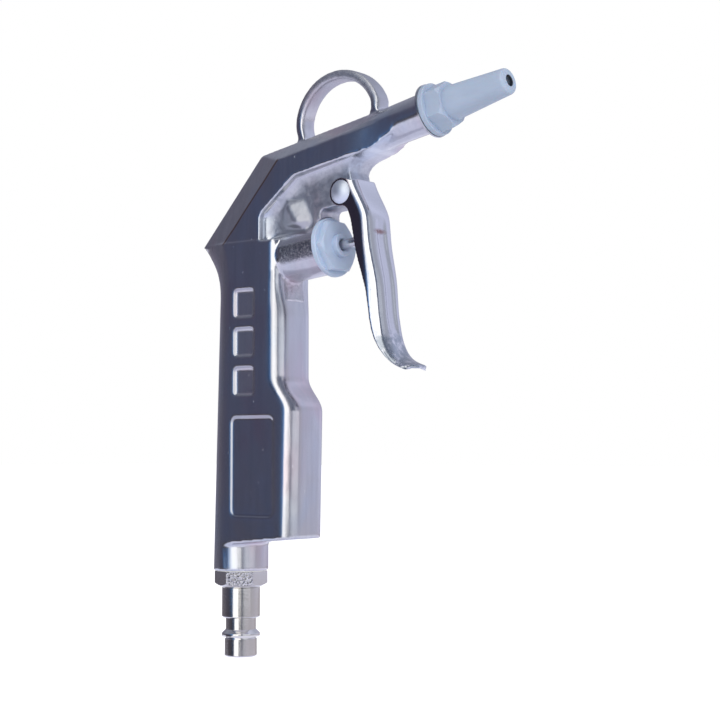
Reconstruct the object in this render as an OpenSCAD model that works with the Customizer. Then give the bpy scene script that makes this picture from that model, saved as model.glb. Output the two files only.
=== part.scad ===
// Pneumatic air duster: a die-cast blow gun with a squeeze lever, a plastic nozzle,
// a hanging hook and a quick-connect inlet plug. The plug's lower end is at the origin,
// +Z runs up the plug, +X points to the front, and y = 0 is the plane of symmetry.

/* [Grip] */
// Thickness of the casting across the grip
body_t = 17.6; // [16.8:0.1:19]
// Height of the grip's lower end on the plug's axis
grip_z = 35.3; // [33:0.1:37]
// Rise of the grip's lower end towards the front, in degrees
grip_rise = 5.4; // [0:0.1:8]
// Distance from the plug's axis to the back of the grip, at the casting's lower end
grip_back = 8.6; // [8.3:0.1:9.5]
// Forward lean of the grip's back, in degrees
back_lean = 1.6; // [0:0.1:2]
// Distance from the plug's axis to the front of the grip, at the casting's lower end
grip_front = 26.5; // [25:0.1:29]
// Forward lean of the lower grip's front, in degrees
front_lean = 1.2; // [0:0.1:2]
// Distance from the plug's axis to the front of the narrow upper grip
waist_front = 21.9; // [21:0.1:23]
// Height where the lower grip's front starts to step back
step_z = 77; // [70:0.5:80]
// Height of the step in the grip's front
step_h = 10.5; // [6:0.5:12]
// Radius of the grip's front corners
grip_corner_r = 3; // [1.5:0.1:4]
// Diameter of the stub round the inlet plug, below the grip
stub_d = 17.3; // [16.6:0.1:17.4]

/* [Recesses in the grip] */
// Depth of the small recesses in the grip's sides
pad_depth = 0.8; // [0.4:0.1:1.2]
// Depth of the large recess
panel_depth = 0.5; // [0.3:0.1:0.8]
// Slope of the recess walls, as a run on each side
recess_draft = 0.5; // [0.2:0.1:0.8]
// Length of the large recess
panel_h = 31.5; // [24:0.5:34]
// Width of the large recess
panel_w = 18; // [14:0.1:19]
// Height of the large recess's centre
panel_z = 59.8; // [56:0.1:61]
// Distance from the plug's axis to the large recess's centre
panel_x = 12.3; // [11:0.1:13]
// Radius of the large recess's corners
panel_r = 2.2; // [1:0.1:3]
// Width of a small recess
pad_w = 8.4; // [6:0.1:10]
// Height of a small recess
pad_h = 9; // [7:0.1:10]
// Distance from one small recess to the next
pad_pitch = 12.25; // [11.5:0.05:13]
// Height of the lowest small recess's centre
pad_z = 86.4; // [85:0.1:88]
// Distance from the plug's axis to the small recesses' centres
pad_x = 8.7; // [8:0.1:10]
// Radius of a small recess's corners
pad_r = 0.6; // [0.4:0.1:1.5]
// Number of small recesses
pad_count = 3; // [1:1:3]

/* [Shoulder] */
// Distance from the plug's axis back to the rear corner
hump_back = 13; // [11:0.1:15]
// Height of the rear corner
hump_z = 130.2; // [128:0.1:132]
// Slope of the shoulder, in degrees
hump_slope = 47.3; // [44:0.1:50]
// Width of the ridge along the shoulder
ridge_w = 9; // [7:0.1:11]
// Width of the shoulder's bevel, seen from the side
hump_bevel = 9.4; // [7:0.1:11]
// How much thinner the casting is above the ledge in its side
ledge_w = 0.6; // [0.2:0.1:1]
// Length of the flare between the grip's back and the rear corner
flare_h = 17; // [12:0.5:20]
// How slowly the flare starts, as a power of the height
flare_power = 1.8; // [1.4:0.1:2.4]

/* [Barrel] */
// Distance from the plug's axis to the barrel's front face
barrel_x = 75.2; // [72:0.1:78]
// Height of the centre of the barrel's front face
barrel_z = 164.3; // [163:0.1:166]
// Rise of the barrel, in degrees
barrel_rise = 11; // [9:0.1:12]
// Diameter of the barrel at its front face
barrel_d = 12.4; // [12:0.1:13]
// Diameter of the barrel's round core at the shoulder
barrel_root_d = 11.2; // [10.5:0.1:12]
// Length of the round front part of the barrel
barrel_round_l = 11; // [9:0.1:14]
// Depth of the flat side panel below the barrel's axis
side_low = 6; // [5.5:0.1:6.5]
// Height of the side panel's upper crease above the barrel's axis
side_high = 0.7; // [0.3:0.1:1.2]
// Height of the barrel's ridge edges above its axis
roof_h = 5.2; // [4.8:0.1:5.6]
// Width of the casting at the side panel's front end
panel_end_w = 13.8; // [13:0.1:15]
// Depth of the side panel below the barrel's axis at its front end
panel_end_low = 3.6; // [3:0.1:5]
// Length over which the side panel's lower edge rises at its front end
panel_end_l = 8; // [4:0.5:10]
// Diameter of the barrel's air bore
barrel_bore_d = 5; // [4:0.1:6]
// Length of the barrel's air bore from its front face
barrel_bore_l = 51; // [49.5:0.1:53]

/* [Hook] */
// Distance from the plug's axis to the hook's centre
hook_x = 41.6; // [40:0.1:43]
// Height of the hook's centre
hook_z = 165.2; // [164:0.1:167]
// Outer radius of the hook
hook_r = 15.9; // [14:0.1:17]
// Thickness of the hook's bar
hook_t = 3; // [2.4:0.1:3.4]
// Width of the hook's bar
hook_w = 6.4; // [5:0.1:8]

/* [Valve boss and web] */
// Distance from the plug's axis to the valve boss's front face
boss_x = 36.5; // [35:0.1:37]
// Height of the centre of the valve boss's front face
boss_z = 126.9; // [126:0.1:128]
// Rise of the valve's axis, in degrees
valve_rise = 6.5; // [5:0.1:8]
// Diameter of the valve boss
boss_d = 16; // [15.5:0.1:17]
// Diameter of the valve chamber
chamber_d = 12; // [11.6:0.1:12.4]
// Depth of the valve chamber
chamber_l = 36; // [35:0.1:37]
// Thickness of the web between the boss and the barrel, and of the pivot lug
web_t = 9.4; // [9:0.1:9.6]
// Radius of the cove between the side panel and the web
cove_r = 3.1; // [2:0.1:3.1]
// Extra width of the cove towards the web
cove_spread = 2; // [0:0.1:2.4]
// Radius of the pivot lug's end
lug_r = 3.9; // [3.6:0.1:4]
// Distance from the barrel's front face back to the web's front end
web_front_l = 22; // [20:0.5:24]
// Radius of the rounded rear end of the pockets beside the web
pocket_r = 3.3; // [3.2:0.1:3.6]
// Distance from the barrel's front face back to the corner where a pocket leaves the barrel
pocket_l = 47.5; // [46:0.1:48.5]
// Distance from the grip's upper front back to the centre of a pocket's rounded end
pocket_back = 3.6; // [3.4:0.1:4.5]
// Height of the centre of a pocket's rounded end above the rear corner
pocket_rise = 6.6; // [5.8:0.1:7.2]
// Height of the fairing over the outlet passage above the web
fairing_h = 2.4; // [1.5:0.1:3]
// Length of the fairing
fairing_l = 13.2; // [12:0.1:13.6]
// Width of the fairing, seen from the side
fairing_w = 10.2; // [9:0.1:10.6]
// Distance from the grip's upper front back to the fairing's rear end
fairing_back = 1.2; // [1:0.1:1.4]
// Height of the fairing's lower end above the rear corner
fairing_rise = 2; // [1.6:0.1:2.4]
// Diameter of the outlet passage from the chamber to the barrel
outlet_d = 3.6; // [3:0.1:4]
// Diameter of the supply passage up the grip
supply_d = 6; // [5:0.1:7]

/* [Inlet plug] */
// Length of the plug below the casting
plug_l = 26.9; // [26.5:0.1:28]
// Diameter of the plug's tip
plug_tip_d = 10.1; // [10:0.05:10.2]
// Length of the plug's tip
plug_tip_l = 5.5; // [5:0.1:6]
// Diameter of the plug's locking ring and body
plug_d = 12; // [11.8:0.1:12.2]
// Length of the groove between tip and locking ring
plug_groove_l = 0.8; // [0.6:0.1:1]
// Length of the cylindrical part of the locking ring
plug_ring_l = 1; // [0.6:0.1:1.2]
// Length of the cone behind the locking ring
plug_cone_l = 1.2; // [0.8:0.1:1.6]
// Diameter of the neck
plug_neck_d = 9.5; // [9:0.1:9.8]
// Height where the neck ends and the body begins
plug_body_z = 12.2; // [11:0.1:13]
// Length of the body
plug_body_l = 9.4; // [8:0.1:10]
// Width of the hexagon across its flats
hex_af = 14.5; // [14:0.1:16]
// Height of the hexagon
hex_h = 4.9; // [4.5:0.1:5.2]
// Turn of the hexagon as it is tightened, in degrees
hex_turn = -21.4; // [-30:0.1:30]
// Diameter of the inlet thread
inlet_thread_d = 13.2; // [12.8:0.1:13.6]
// Length of the inlet thread
inlet_thread_l = 11; // [9:0.5:13]
// Diameter of the plug's air bore
plug_bore_d = 6.2; // [5.5:0.1:7]
// Width of the inlet seal ring
inlet_seal_w = 1.4; // [1:0.1:1.5]
// Thickness of the inlet seal ring
inlet_seal_t = 1; // [0.8:0.1:1.5]

/* [Nozzle] */
// Thickness of the washer behind the nozzle
washer_t = 0.6; // [0.4:0.1:1]
// Diameter of the washer behind the nozzle
washer_d = 16.2; // [15:0.1:17]
// Diameter of the nozzle's flange
nozzle_flange_d = 15.8; // [15:0.1:16]
// Thickness of the nozzle's flange
nozzle_flange_t = 1.7; // [1.2:0.1:2.2]
// Width of the nozzle's hexagon across its flats
nozzle_hex_af = 12.6; // [12:0.1:13]
// Length of the nozzle's hexagon
nozzle_hex_l = 5.2; // [4:0.1:5.6]
// Diameter of the nozzle's cone at the hexagon
nozzle_root_d = 10.5; // [10:0.1:12]
// Diameter of the nozzle's tip
nozzle_tip_d = 7.7; // [7:0.1:9]
// Distance from the barrel's front face to the nozzle's tip
nozzle_reach = 27.9; // [26:0.1:30]
// Rounding of the nozzle's tip
nozzle_tip_r = 0.9; // [0.5:0.1:1.2]
// Diameter of the nozzle's outlet
nozzle_hole_d = 3.2; // [2:0.1:3.6]
// Diameter of the nozzle's thread
nozzle_thread_d = 8; // [7.6:0.1:8.4]
// Length of the nozzle's thread
nozzle_thread_l = 9; // [8:0.1:10]
// Wire diameter of the nozzle's sealing ring
nozzle_seal_wire = 1.2; // [1:0.05:1.3]

/* [Valve plug] */
// Diameter of the valve plug's flange
gland_flange_d = 18.4; // [18:0.1:19]
// Thickness of the valve plug's flange
gland_flange_t = 1.7; // [1.4:0.1:2]
// Width of the valve plug's hexagon across its flats
gland_hex_af = 15; // [14:0.1:15.6]
// Length of the valve plug's hexagon
gland_hex_l = 2.2; // [2:0.1:3]
// Diameter of the valve plug's collar
gland_collar_d = 7.3; // [6.8:0.1:8]
// Length of the valve plug's collar
gland_collar_l = 1.7; // [1.2:0.1:2]
// Length of the valve plug's thread
gland_thread_l = 9; // [8.5:0.1:9.5]
// Diameter of the valve plug's inner sleeve
sleeve_d = 10; // [9.6:0.1:10.2]
// Depth of the valve seat at the sleeve's inner end
seat_l = 20; // [19.5:0.1:20.5]
// Diameter of the air space round the stem
air_d = 5.6; // [5.2:0.1:5.8]
// Diameter of the ports through the sleeve
port_d = 3; // [2.4:0.1:3.2]
// Depth of the ports
port_l = 11.5; // [11.2:0.1:12]
// Wire diameter of the ring that seals the sleeve
sleeve_seal_wire = 1.5; // [1.3:0.05:1.6]
// Wire diameter of the ring under the flange
gland_seal_wire = 1; // [0.8:0.05:1.1]
// Wire diameter of the ring that seals the stem
stem_seal_wire = 1.4; // [1.2:0.05:1.45]
// Depth of the pocket's floor that holds the stem's sealing ring
stem_seal_l = 3; // [2.5:0.1:3.5]
// Thickness of the ring that keeps the stem's sealing ring in its pocket
keeper_t = 1.2; // [1:0.1:1.6]

/* [Valve stem and spring] */
// Diameter of the stem
stem_d = 3; // [2.8:0.05:3.1]
// Distance that the stem stands out past the boss's front face
stem_reach = 16.8; // [16.4:0.05:16.85]
// Diameter of the valve head
head_d = 9; // [8.4:0.1:9.4]
// Thickness of the valve head
head_t = 2.4; // [2:0.1:3]
// Thickness of the rubber face on the valve head
face_t = 1.3; // [1:0.1:1.6]
// Diameter of the stem's thinner end, which the head sits on
stem_end_d = 2; // [1.8:0.05:2.2]
// Length of the clinch that holds the head on the stem
clinch_t = 0.8; // [0.6:0.1:1]
// Wire diameter of the valve spring
spring_wire = 0.9; // [0.7:0.05:1]
// Outer diameter of the valve spring
spring_d = 8.4; // [7.6:0.1:8.8]
// Number of curls in the valve spring
spring_curls = 6; // [4:1:7]

/* [Lever] */
// Distance from the plug's axis to the pivot pin
pivot_x = 45.9; // [45.7:0.1:46.1]
// Height of the pivot pin
pivot_z = 142.6; // [142.4:0.1:142.8]
// Diameter of the pivot pin
pin_d = 4; // [3.5:0.1:4.2]
// Diameter of the pivot pin's domed head
pin_head_d = 7.2; // [6.5:0.1:7.6]
// Height of the pivot pin's domed head
pin_head_h = 1.5; // [1.2:0.1:1.8]
// Thickness of the lever's sheet
lever_t = 1.2; // [1:0.05:1.3]
// Outer width of the lever
lever_w = 13; // [12.8:0.1:13.6]
// Radius of the lever's bends
lever_bend_r = 2.2; // [1.8:0.1:2.6]
// Distance from the pin's axis to the lever's front face
lever_front = 5.6; // [5.55:0.05:5.7]
// Radius of the lever's ears round the pin
ear_r = 4.3; // [4:0.1:4.5]
// Radius of the fillet between the ears and the lever's rear edge
ear_fillet_r = 2.5; // [1.5:0.1:3]
// Distance that the lever's upper edge stands above the pin, along its face
lever_top = 2; // [1.4:0.1:2.6]
// Angle of the lever's upper part from the vertical, in degrees
lever_upper_a = 20.4; // [19:0.1:21]
// Length of the lever's upper part
lever_upper_l = 10.9; // [10:0.1:12]
// Radius of the bend below the upper part
lever_knee_r = 14; // [10:0.5:16]
// Angle of the lever's long part from the vertical, in degrees
lever_long_a = 5.5; // [4:0.1:7]
// Length of the lever's long part
lever_long_l = 27.3; // [24:0.1:30]
// Radius of the curl at the lever's lower end
lever_curl_r = 17.8; // [15:0.1:20]
// Angle of the lever's tip from the vertical, in degrees
lever_tip_a = 78; // [70:1:85]
// Radius of the lever's rounded tip, seen from above
lever_tip_r = 7.4; // [6.9:0.1:9]
// Depth of the groove pressed into the lever's face
groove_depth = 0.7; // [0.3:0.1:1]
// Width of the groove pressed into the lever's face
groove_w = 4.6; // [3:0.1:6]

/* [Hidden] */
$fn = 64;
// Radial gap of the threads and press fits
fit_gap = 0.04;
// Radial gap of the stem's guide and the pivot
run_gap = 0.06;
// How far a cutting shape passes through what it cuts
over = 2;
// Sides of the rounded shapes in the lofts
corner_steps = 6;
back_steps = 16;
step_steps = 8;
flare_steps = 7;
outline_steps = 23;
curl_sides = 6;
curl_rings = 8;
// Share of the bevelled back's half outline that its bevel takes
bevel_share = 0.8;
// Corners of the web's open edge from the lug to the barrel and to the boss, in shares of the lug's radius
lug_front_shares = [[1.33, 2.59], [1.03, 2.36], [0.74, 2], [0.59, 1.54]];
lug_cove_shares = [-1.95, -1.5, 0.45];
lug_back_share = -2.5;
// The fairing's foot and ridge, in shares of its length and width
fairing_foot_shares = [[0, 0.24], [0, 0.61], [0.22, 1], [0.77, 0.93], [1, 0.33], [0.83, 0]];
fairing_ridge_shares = [[0.35, 0.75], [0.59, 0.29]];

half_t = body_t / 2;
side_half = half_t - ledge_w / 2;
ridge_half = ridge_w / 2;
top_z = barrel_z + barrel_d;

// Points on an arc about c, from angle a0 to a1, in n steps
function arc(c, r, a0, a1, n) =
    [for (i = [0:n]) let (a = a0 + (a1 - a0) * i / n) [c[0] + r * cos(a), c[1] + r * sin(a)]];

// An even change from 0 to 1 without corners
function ease(t) = t * t * (3 - 2 * t);

// The corner where two sloping lines meet, each given by a point and a slope in degrees
function meet(p, a, q, b) =
    let (x = (q[1] - p[1] + tan(a) * p[0] - tan(b) * q[0]) / (tan(a) - tan(b)))
    [x, p[1] + tan(a) * (x - p[0])];

// A closed solid through loops of points. Seen from the last loop's side, each loop is drawn
// counter-clockwise, or clockwise where that is said.
// The ends of a band, whose loop goes out along one side and back along the other, are closed in strips
module skin(loops, band = false, clockwise = false) {
    n = len(loops[0]);
    m = len(loops);
    sides = [for (j = [0:m - 2], i = [0:n - 1])
        let (k = (i + 1) % n, a = j * n + i, b = j * n + k, c = (j + 1) * n + k, d = (j + 1) * n + i)
        each [[a, d, c], [a, c, b]]];
    low = band
        ? [for (i = [0:n / 2 - 2]) each [[i, i + 1, n - 2 - i], [i, n - 2 - i, n - 1 - i]]]
        : [[for (i = [0:n - 1]) i]];
    high = [for (face = low) [for (i = [len(face) - 1:-1:0]) (m - 1) * n + face[i]]];
    faces = concat(sides, low, high);
    polyhedron([for (loop = loops) each loop],
        clockwise ? [for (face = faces) [for (i = [len(face) - 1:-1:0]) face[i]]] : faces);
}

// A flat outline drawn in x and z, given a thickness evenly on both sides of y = 0
module side(t) {
    rotate([90, 0, 0])
        linear_extrude(t, center = true)
            children();
}

// Places its children on both sides of y = 0
module both_sides() {
    children();
    mirror([0, 1, 0]) children();
}

// Places of the three axes that the parts are built on
module on_valve(l = 0) {
    translate([boss_x, 0, boss_z])
        rotate([0, 90 - valve_rise, 0])
            translate([0, 0, l])
                children();
}
module on_barrel(l = 0) {
    translate([barrel_x, 0, barrel_z])
        rotate([0, 90 - barrel_rise, 0])
            translate([0, 0, l])
                children();
}
module on_pivot() {
    translate([pivot_x, 0, pivot_z])
        rotate([90, 0, 0])
            children();
}

// A ring of round wire about the z axis
module ring(d_in, wire) {
    rotate_extrude()
        translate([(d_in + wire) / 2, 0])
            circle(d = wire, $fn = 24);
}

// A hexagonal bar whose ends are turned down to a chamfer, low and high
module nut(af, h, low, high) {
    corner = af / cos(30);
    intersection() {
        cylinder(d = corner, h = h, $fn = 6);
        rotate_extrude()
            polygon([[0, 0], [corner / 2 - low, 0], [corner / 2, low * tan(30)],
                [corner / 2, h - high * tan(30)], [corner / 2 - high, h], [0, h]]);
    }
}

// Grip

function back_at(z) = -grip_back + (z - plug_l) * tan(back_lean);
function low_front_at(z) = grip_front + (z - plug_l) * tan(front_lean);
function front_at(z) =
    let (s = ease(max(0, min(1, (z - step_z) / step_h))))
    low_front_at(min(z, step_z)) * (1 - s) + waist_front * s;

// Half outline of the shoulder's bevelled back at the ledge, from the side's crease to the ridge
crease_x = -hump_back + hump_bevel / sin(hump_slope);
function bevel_point(f) =
    let (g = 1 - abs(2 * f - 1), s = min(1, g / bevel_share), way = f < 1 / 2 ? 1 : -1)
    g < bevel_share
        ? [crease_x * (1 - s) - hump_back * s, way * (half_t * (1 - s) + ridge_half * s)]
        : [-hump_back, way * ridge_half * (1 - g) / (1 - bevel_share)];

// One level of the grip: two rounded front corners and a round back that turns into the bevels
function grip_loop(z) =
    let (flare = max(0, (z - hump_z + flare_h) / flare_h), w = pow(flare, flare_power),
        front = front_at(z) - grip_corner_r, edge = half_t - grip_corner_r)
    [for (p = concat(
        arc([front, edge], grip_corner_r, 0, 90, corner_steps),
        [for (i = [0:back_steps]) let (f = i / back_steps, a = 90 + 180 * f)
            (1 - w) * [back_at(z) + half_t + half_t * cos(a), half_t * sin(a)] + w * bevel_point(f)],
        arc([front, -edge], grip_corner_r, 270, 360, corner_steps))) [p[0], p[1], z]];

grip_levels = concat(
    [plug_l, step_z],
    [for (i = [1:step_steps]) step_z + step_h * i / step_steps],
    [for (i = [0:flare_steps]) hump_z - flare_h + flare_h * i / flare_steps]);

// The grip's lower end is cut off at a slope in front of the round stub that holds the inlet plug
module grip() {
    difference() {
        skin([for (z = grip_levels) grip_loop(z)]);
        difference() {
            translate([0, 0, grip_z])
                rotate([0, -grip_rise, 0])
                    translate([0, -body_t, -grip_front])
                        cube([2 * grip_front, 2 * body_t, grip_front]);
            cylinder(d = stub_d, h = 2 * grip_z);
        }
        both_sides() recesses();
    }
}

// A shallow recess with rounded corners and sloping walls, cut into the side at -y
module recess(x, z, w, h, r, depth) {
    function loop(y, out) = [for (p = concat(
        arc([x + w / 2 - r, z + h / 2 - r], r + out, 0, 90, corner_steps),
        arc([x - w / 2 + r, z + h / 2 - r], r + out, 90, 180, corner_steps),
        arc([x - w / 2 + r, z - h / 2 + r], r + out, 180, 270, corner_steps),
        arc([x + w / 2 - r, z - h / 2 + r], r + out, 270, 360, corner_steps))) [p[0], y, p[1]]];
    steep = recess_draft / depth;
    skin([loop(-half_t + depth, -recess_draft), loop(-half_t - over, over * steep)]);
}

module recesses() {
    recess(panel_x, panel_z, panel_w, panel_h, panel_r, panel_depth);
    for (i = [0:pad_count - 1])
        recess(pad_x, pad_z + i * pad_pitch, pad_w, pad_h, pad_r + recess_draft, pad_depth);
}

// Shoulder and barrel

// A point given along the barrel's axis and square to it, in x and z
function barrel_point(l, up) = [
    barrel_x + l * cos(barrel_rise) - up * sin(barrel_rise),
    barrel_z + l * sin(barrel_rise) + up * cos(barrel_rise)];

hump_top = meet([-hump_back, hump_z], hump_slope, barrel_point(0, roof_h), barrel_rise);
side_end = -barrel_round_l;
crease_top = meet([crease_x, hump_z], hump_slope, barrel_point(0, side_high), barrel_rise);
taper_l = norm(crease_top - barrel_point(side_end, side_high));
side_taper = atan((side_half - panel_end_w / 2) / taper_l);

// The web's open edge, from the barrel's underside round the pivot lug and down to the boss
pivot = [pivot_x, pivot_z];
lug_cove = pivot + lug_r * [lug_cove_shares[0], lug_cove_shares[1]];
web_edge = concat(
    [barrel_point(-web_front_l, -side_low)],
    [for (share = lug_front_shares) pivot + lug_r * share],
    arc(pivot, lug_r, 30, -110, 8),
    arc(lug_cove, lug_r * lug_cove_shares[2], 80, 200, 5),
    [[pivot_x + lug_r * lug_back_share, boss_z], [waist_front, boss_z], [waist_front, hump_z]]);

module upper_outline() {
    polygon(concat(
        [[-hump_back, hump_z], hump_top, barrel_point(side_end, roof_h),
            barrel_point(side_end, -panel_end_low), barrel_point(side_end - panel_end_l, -side_low)],
        web_edge));
}

// The wedge-shaped plan that narrows the side panels towards the nozzle
module upper_plan() {
    near = [crease_top[0], side_half];
    far = [barrel_x, side_half - (barrel_x - crease_top[0]) * tan(side_taper)];
    linear_extrude(top_z)
        polygon([[-2 * hump_back, -near[1]], [near[0], -near[1]], [far[0], -far[1]],
            far, near, [-2 * hump_back, near[1]]]);
}

// Cuts one bevel along a crease through p, sloping back by the bevel's width and inset
module bevel_cut(p, slope, high, inset, taper) {
    translate([p[0], side_half, p[1]])
        rotate([0, -slope, 0])
            rotate([0, 0, -taper])
                rotate([atan(inset / high), 0, 0])
                    translate([-barrel_x, 0, 0])
                        cube([2 * barrel_x, body_t, body_t]);
}

// The pocket beside the web, with a cove where the side panel's underside turns into the web.
// Its corners' centres lie further in by the amount inset, below the side panel and in front of the waist
function pocket_centres(inset) = [
    barrel_point(0, -side_low - pocket_r - inset),
    barrel_point(-pocket_l, -side_low - pocket_r - inset),
    [waist_front - pocket_back + inset, hump_z + pocket_rise],
    [waist_front - pocket_back + inset, boss_z - boss_d],
    [barrel_x, boss_z - boss_d]];

// The pocket's outline drawn counter-clockwise, with each corner rounded by r
function pocket_loop(y, r, inset) =
    let (centres = pocket_centres(inset), n = len(centres),
        turns = [for (i = [0:n - 1]) let (side = centres[(i + 1) % n] - centres[i])
            atan2(side[1], side[0]) - 90])
    [for (i = [0:n - 1])
        let (a1 = turns[i], back = turns[(i + n - 1) % n], a0 = back > a1 ? back - 360 : back)
        for (p = arc(centres[i], r, a0, a1, corner_steps)) [p[0], y, p[1]]];

module pocket() {
    deep = -web_t / 2;
    skin(concat(
        [for (i = [0:corner_steps]) let (a = 90 * i / corner_steps)
            pocket_loop(deep - cove_r * (1 - cos(a)), pocket_r - cove_r + cove_r * sin(a),
                cove_spread * (1 - sin(a)))],
        [pocket_loop(-body_t, pocket_r, 0)]));
}

module upper() {
    difference() {
        intersection() {
            side(body_t) upper_outline();
            upper_plan();
        }
        both_sides() {
            bevel_cut([crease_x, hump_z], hump_slope, hump_bevel, side_half - ridge_half, 0);
            bevel_cut(crease_top, barrel_rise, roof_h - side_high, side_half - ridge_half, side_taper);
            pocket();
        }
        // The room in front of the boss for the valve plug's flange
        on_valve(-run_gap) cylinder(d = gland_flange_d + 2 * run_gap, h = boss_d);
    }
    on_barrel(-barrel_bore_l)
        cylinder(d1 = barrel_root_d, d2 = barrel_d, h = barrel_bore_l);
}

// The fairing over the outlet passage: a wedge with two facets that rises from each side of the web
module fairing() {
    function place(share) = [waist_front - fairing_back + fairing_l * share[0], 0,
        hump_z + fairing_rise + fairing_w * share[1]];
    module post(share, h) {
        translate(place(share))
            rotate([90, 0, 0])
                cylinder(r = fairing_h / 4, h = h, $fn = 12);
    }
    both_sides()
        hull() {
            for (share = fairing_foot_shares) post(share, web_t / 2 - fairing_h / 4);
            for (share = fairing_ridge_shares) post(share, web_t / 2 + fairing_h);
        }
}

module hook() {
    side(hook_w)
        difference() {
            union() {
                translate([hook_x, hook_z]) circle(r = hook_r);
                translate([hook_x - hook_r, hook_z - hook_r / 2]) square([2 * hook_r, hook_r / 2]);
            }
            translate([hook_x, hook_z]) circle(r = hook_r - hook_t);
            translate([hook_x - hook_r + hook_t, hook_z - hook_r]) square([2 * (hook_r - hook_t), hook_r]);
            polygon([barrel_point(-barrel_bore_l - hook_r, 0), barrel_point(0, 0),
                [barrel_x, hook_z - 2 * hook_r], [hook_x - 2 * hook_r, hook_z - 2 * hook_r]]);
        }
}

// Where the outlet passage leaves the chamber and meets the barrel's bore
outlet_low = [boss_x - port_l, 0, boss_z];
outlet_high = [barrel_x - (barrel_bore_l - outlet_d) * cos(barrel_rise), 0,
    barrel_z - (barrel_bore_l - outlet_d) * sin(barrel_rise)];

module outlet_passage() {
    run = outlet_high - outlet_low;
    translate(outlet_low)
        rotate([0, atan2(run[0], run[2]), 0])
            cylinder(d = outlet_d, h = norm(run));
}

module body() {
    color("silver")
    difference() {
        union() {
            grip();
            upper();
            fairing();
            hook();
            on_valve(-chamber_l) cylinder(d = boss_d, h = chamber_l);
        }
        on_valve(-chamber_l) cylinder(d = chamber_d, h = chamber_l + over);
        on_valve(-gland_seal_groove_l) cylinder(d = gland_seal_d, h = gland_seal_groove_l + over);
        translate([0, 0, plug_l]) cylinder(d = supply_d, h = boss_z - plug_l - sin(valve_rise) * boss_x);
        translate([0, 0, plug_l - over])
            cylinder(d = inlet_thread_d + 2 * fit_gap, h = inlet_thread_l + 2 * over);
        translate([0, 0, plug_l - over])
            cylinder(d = inlet_thread_d + 2 * inlet_seal_w + 2 * fit_gap, h = inlet_seal_t + over);
        on_barrel(-barrel_bore_l) cylinder(d = barrel_bore_d, h = barrel_bore_l + over);
        on_barrel(-nozzle_socket_l) cylinder(d = nozzle_thread_d + 2 * fit_gap, h = nozzle_socket_l + over);
        outlet_passage();
        on_pivot() cylinder(d = pin_d + 2 * fit_gap, h = body_t, center = true);
    }
}

// Inlet plug and its seal

module inlet_plug() {
    edge = plug_groove_l / 2;
    ring_z = plug_tip_l + plug_groove_l;
    cone_z = ring_z + plug_ring_l;
    hex_z = plug_l - hex_h;
    color("lightgray")
    difference() {
        union() {
            rotate_extrude()
                polygon([
                    [0, 0], [plug_tip_d / 2 - edge, 0], [plug_tip_d / 2, edge], [plug_tip_d / 2, plug_tip_l],
                    [plug_tip_d / 2 - edge, plug_tip_l], [plug_tip_d / 2 - edge, ring_z],
                    [plug_d / 2, ring_z], [plug_d / 2, cone_z], [plug_neck_d / 2, cone_z + plug_cone_l],
                    [plug_neck_d / 2, plug_body_z], [plug_d / 2 - edge, plug_body_z],
                    [plug_d / 2, plug_body_z + edge], [plug_d / 2, plug_body_z + plug_body_l],
                    [plug_d / 2 - edge, plug_body_z + plug_body_l + edge / 2],
                    [plug_d / 2 - edge, hex_z + edge], [0, hex_z + edge]]);
            translate([0, 0, hex_z])
                rotate([0, 0, hex_turn])
                    nut(hex_af, hex_h, hex_af / 8, edge);
            translate([0, 0, plug_l - edge])
                cylinder(d = inlet_thread_d, h = inlet_thread_l + edge);
        }
        translate([0, 0, -over])
            cylinder(d = plug_bore_d, h = plug_l + inlet_thread_l + 2 * over);
        translate([0, 0, -over / 2])
            cylinder(d1 = plug_bore_d + 2 * over, d2 = plug_bore_d, h = over);
    }
}

module inlet_seal() {
    color("white")
    translate([0, 0, plug_l])
        difference() {
            cylinder(d = inlet_thread_d + 2 * inlet_seal_w, h = inlet_seal_t);
            translate([0, 0, -over])
                cylinder(d = inlet_thread_d + 2 * fit_gap, h = inlet_seal_t + 2 * over);
        }
}

// Nozzle, its washer and its sealing ring

nozzle_socket_l = nozzle_thread_l + nozzle_seal_wire + fit_gap;

module nozzle() {
    hex_l = washer_t + nozzle_flange_t;
    cone_l = hex_l + nozzle_hex_l;
    tip_half = nozzle_tip_d / 2;
    edge = nozzle_tip_r / 2;
    color("lightsteelblue")
    on_barrel()
        difference() {
            union() {
                rotate_extrude()
                    polygon(concat(
                        [[0, washer_t - nozzle_thread_l], [nozzle_thread_d / 2, washer_t - nozzle_thread_l],
                        [nozzle_thread_d / 2, washer_t], [nozzle_flange_d / 2 - edge, washer_t]],
                        arc([nozzle_flange_d / 2 - edge, washer_t + edge], edge, -90, 0, 4),
                        arc([nozzle_flange_d / 2 - edge, hex_l - edge], edge, 0, 90, 4),
                        [[nozzle_root_d / 2, hex_l], [nozzle_root_d / 2, cone_l]],
                        arc([tip_half - nozzle_tip_r, nozzle_reach - nozzle_tip_r], nozzle_tip_r, 5, 90, 6),
                        [[0, nozzle_reach]]));
                translate([0, 0, hex_l])
                    nut(nozzle_hex_af, nozzle_hex_l, 0, edge);
            }
            translate([0, 0, -nozzle_thread_l - over])
                cylinder(d = nozzle_hole_d, h = nozzle_reach + nozzle_thread_l + 2 * over);
            translate([0, 0, -nozzle_thread_l - over])
                cylinder(d = barrel_bore_d, h = nozzle_thread_l + cone_l);
        }
}

module nozzle_washer() {
    color("gray")
    on_barrel()
        difference() {
            cylinder(d = washer_d, h = washer_t);
            translate([0, 0, -over])
                cylinder(d = nozzle_thread_d + 2 * fit_gap, h = washer_t + 2 * over);
        }
}

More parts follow.
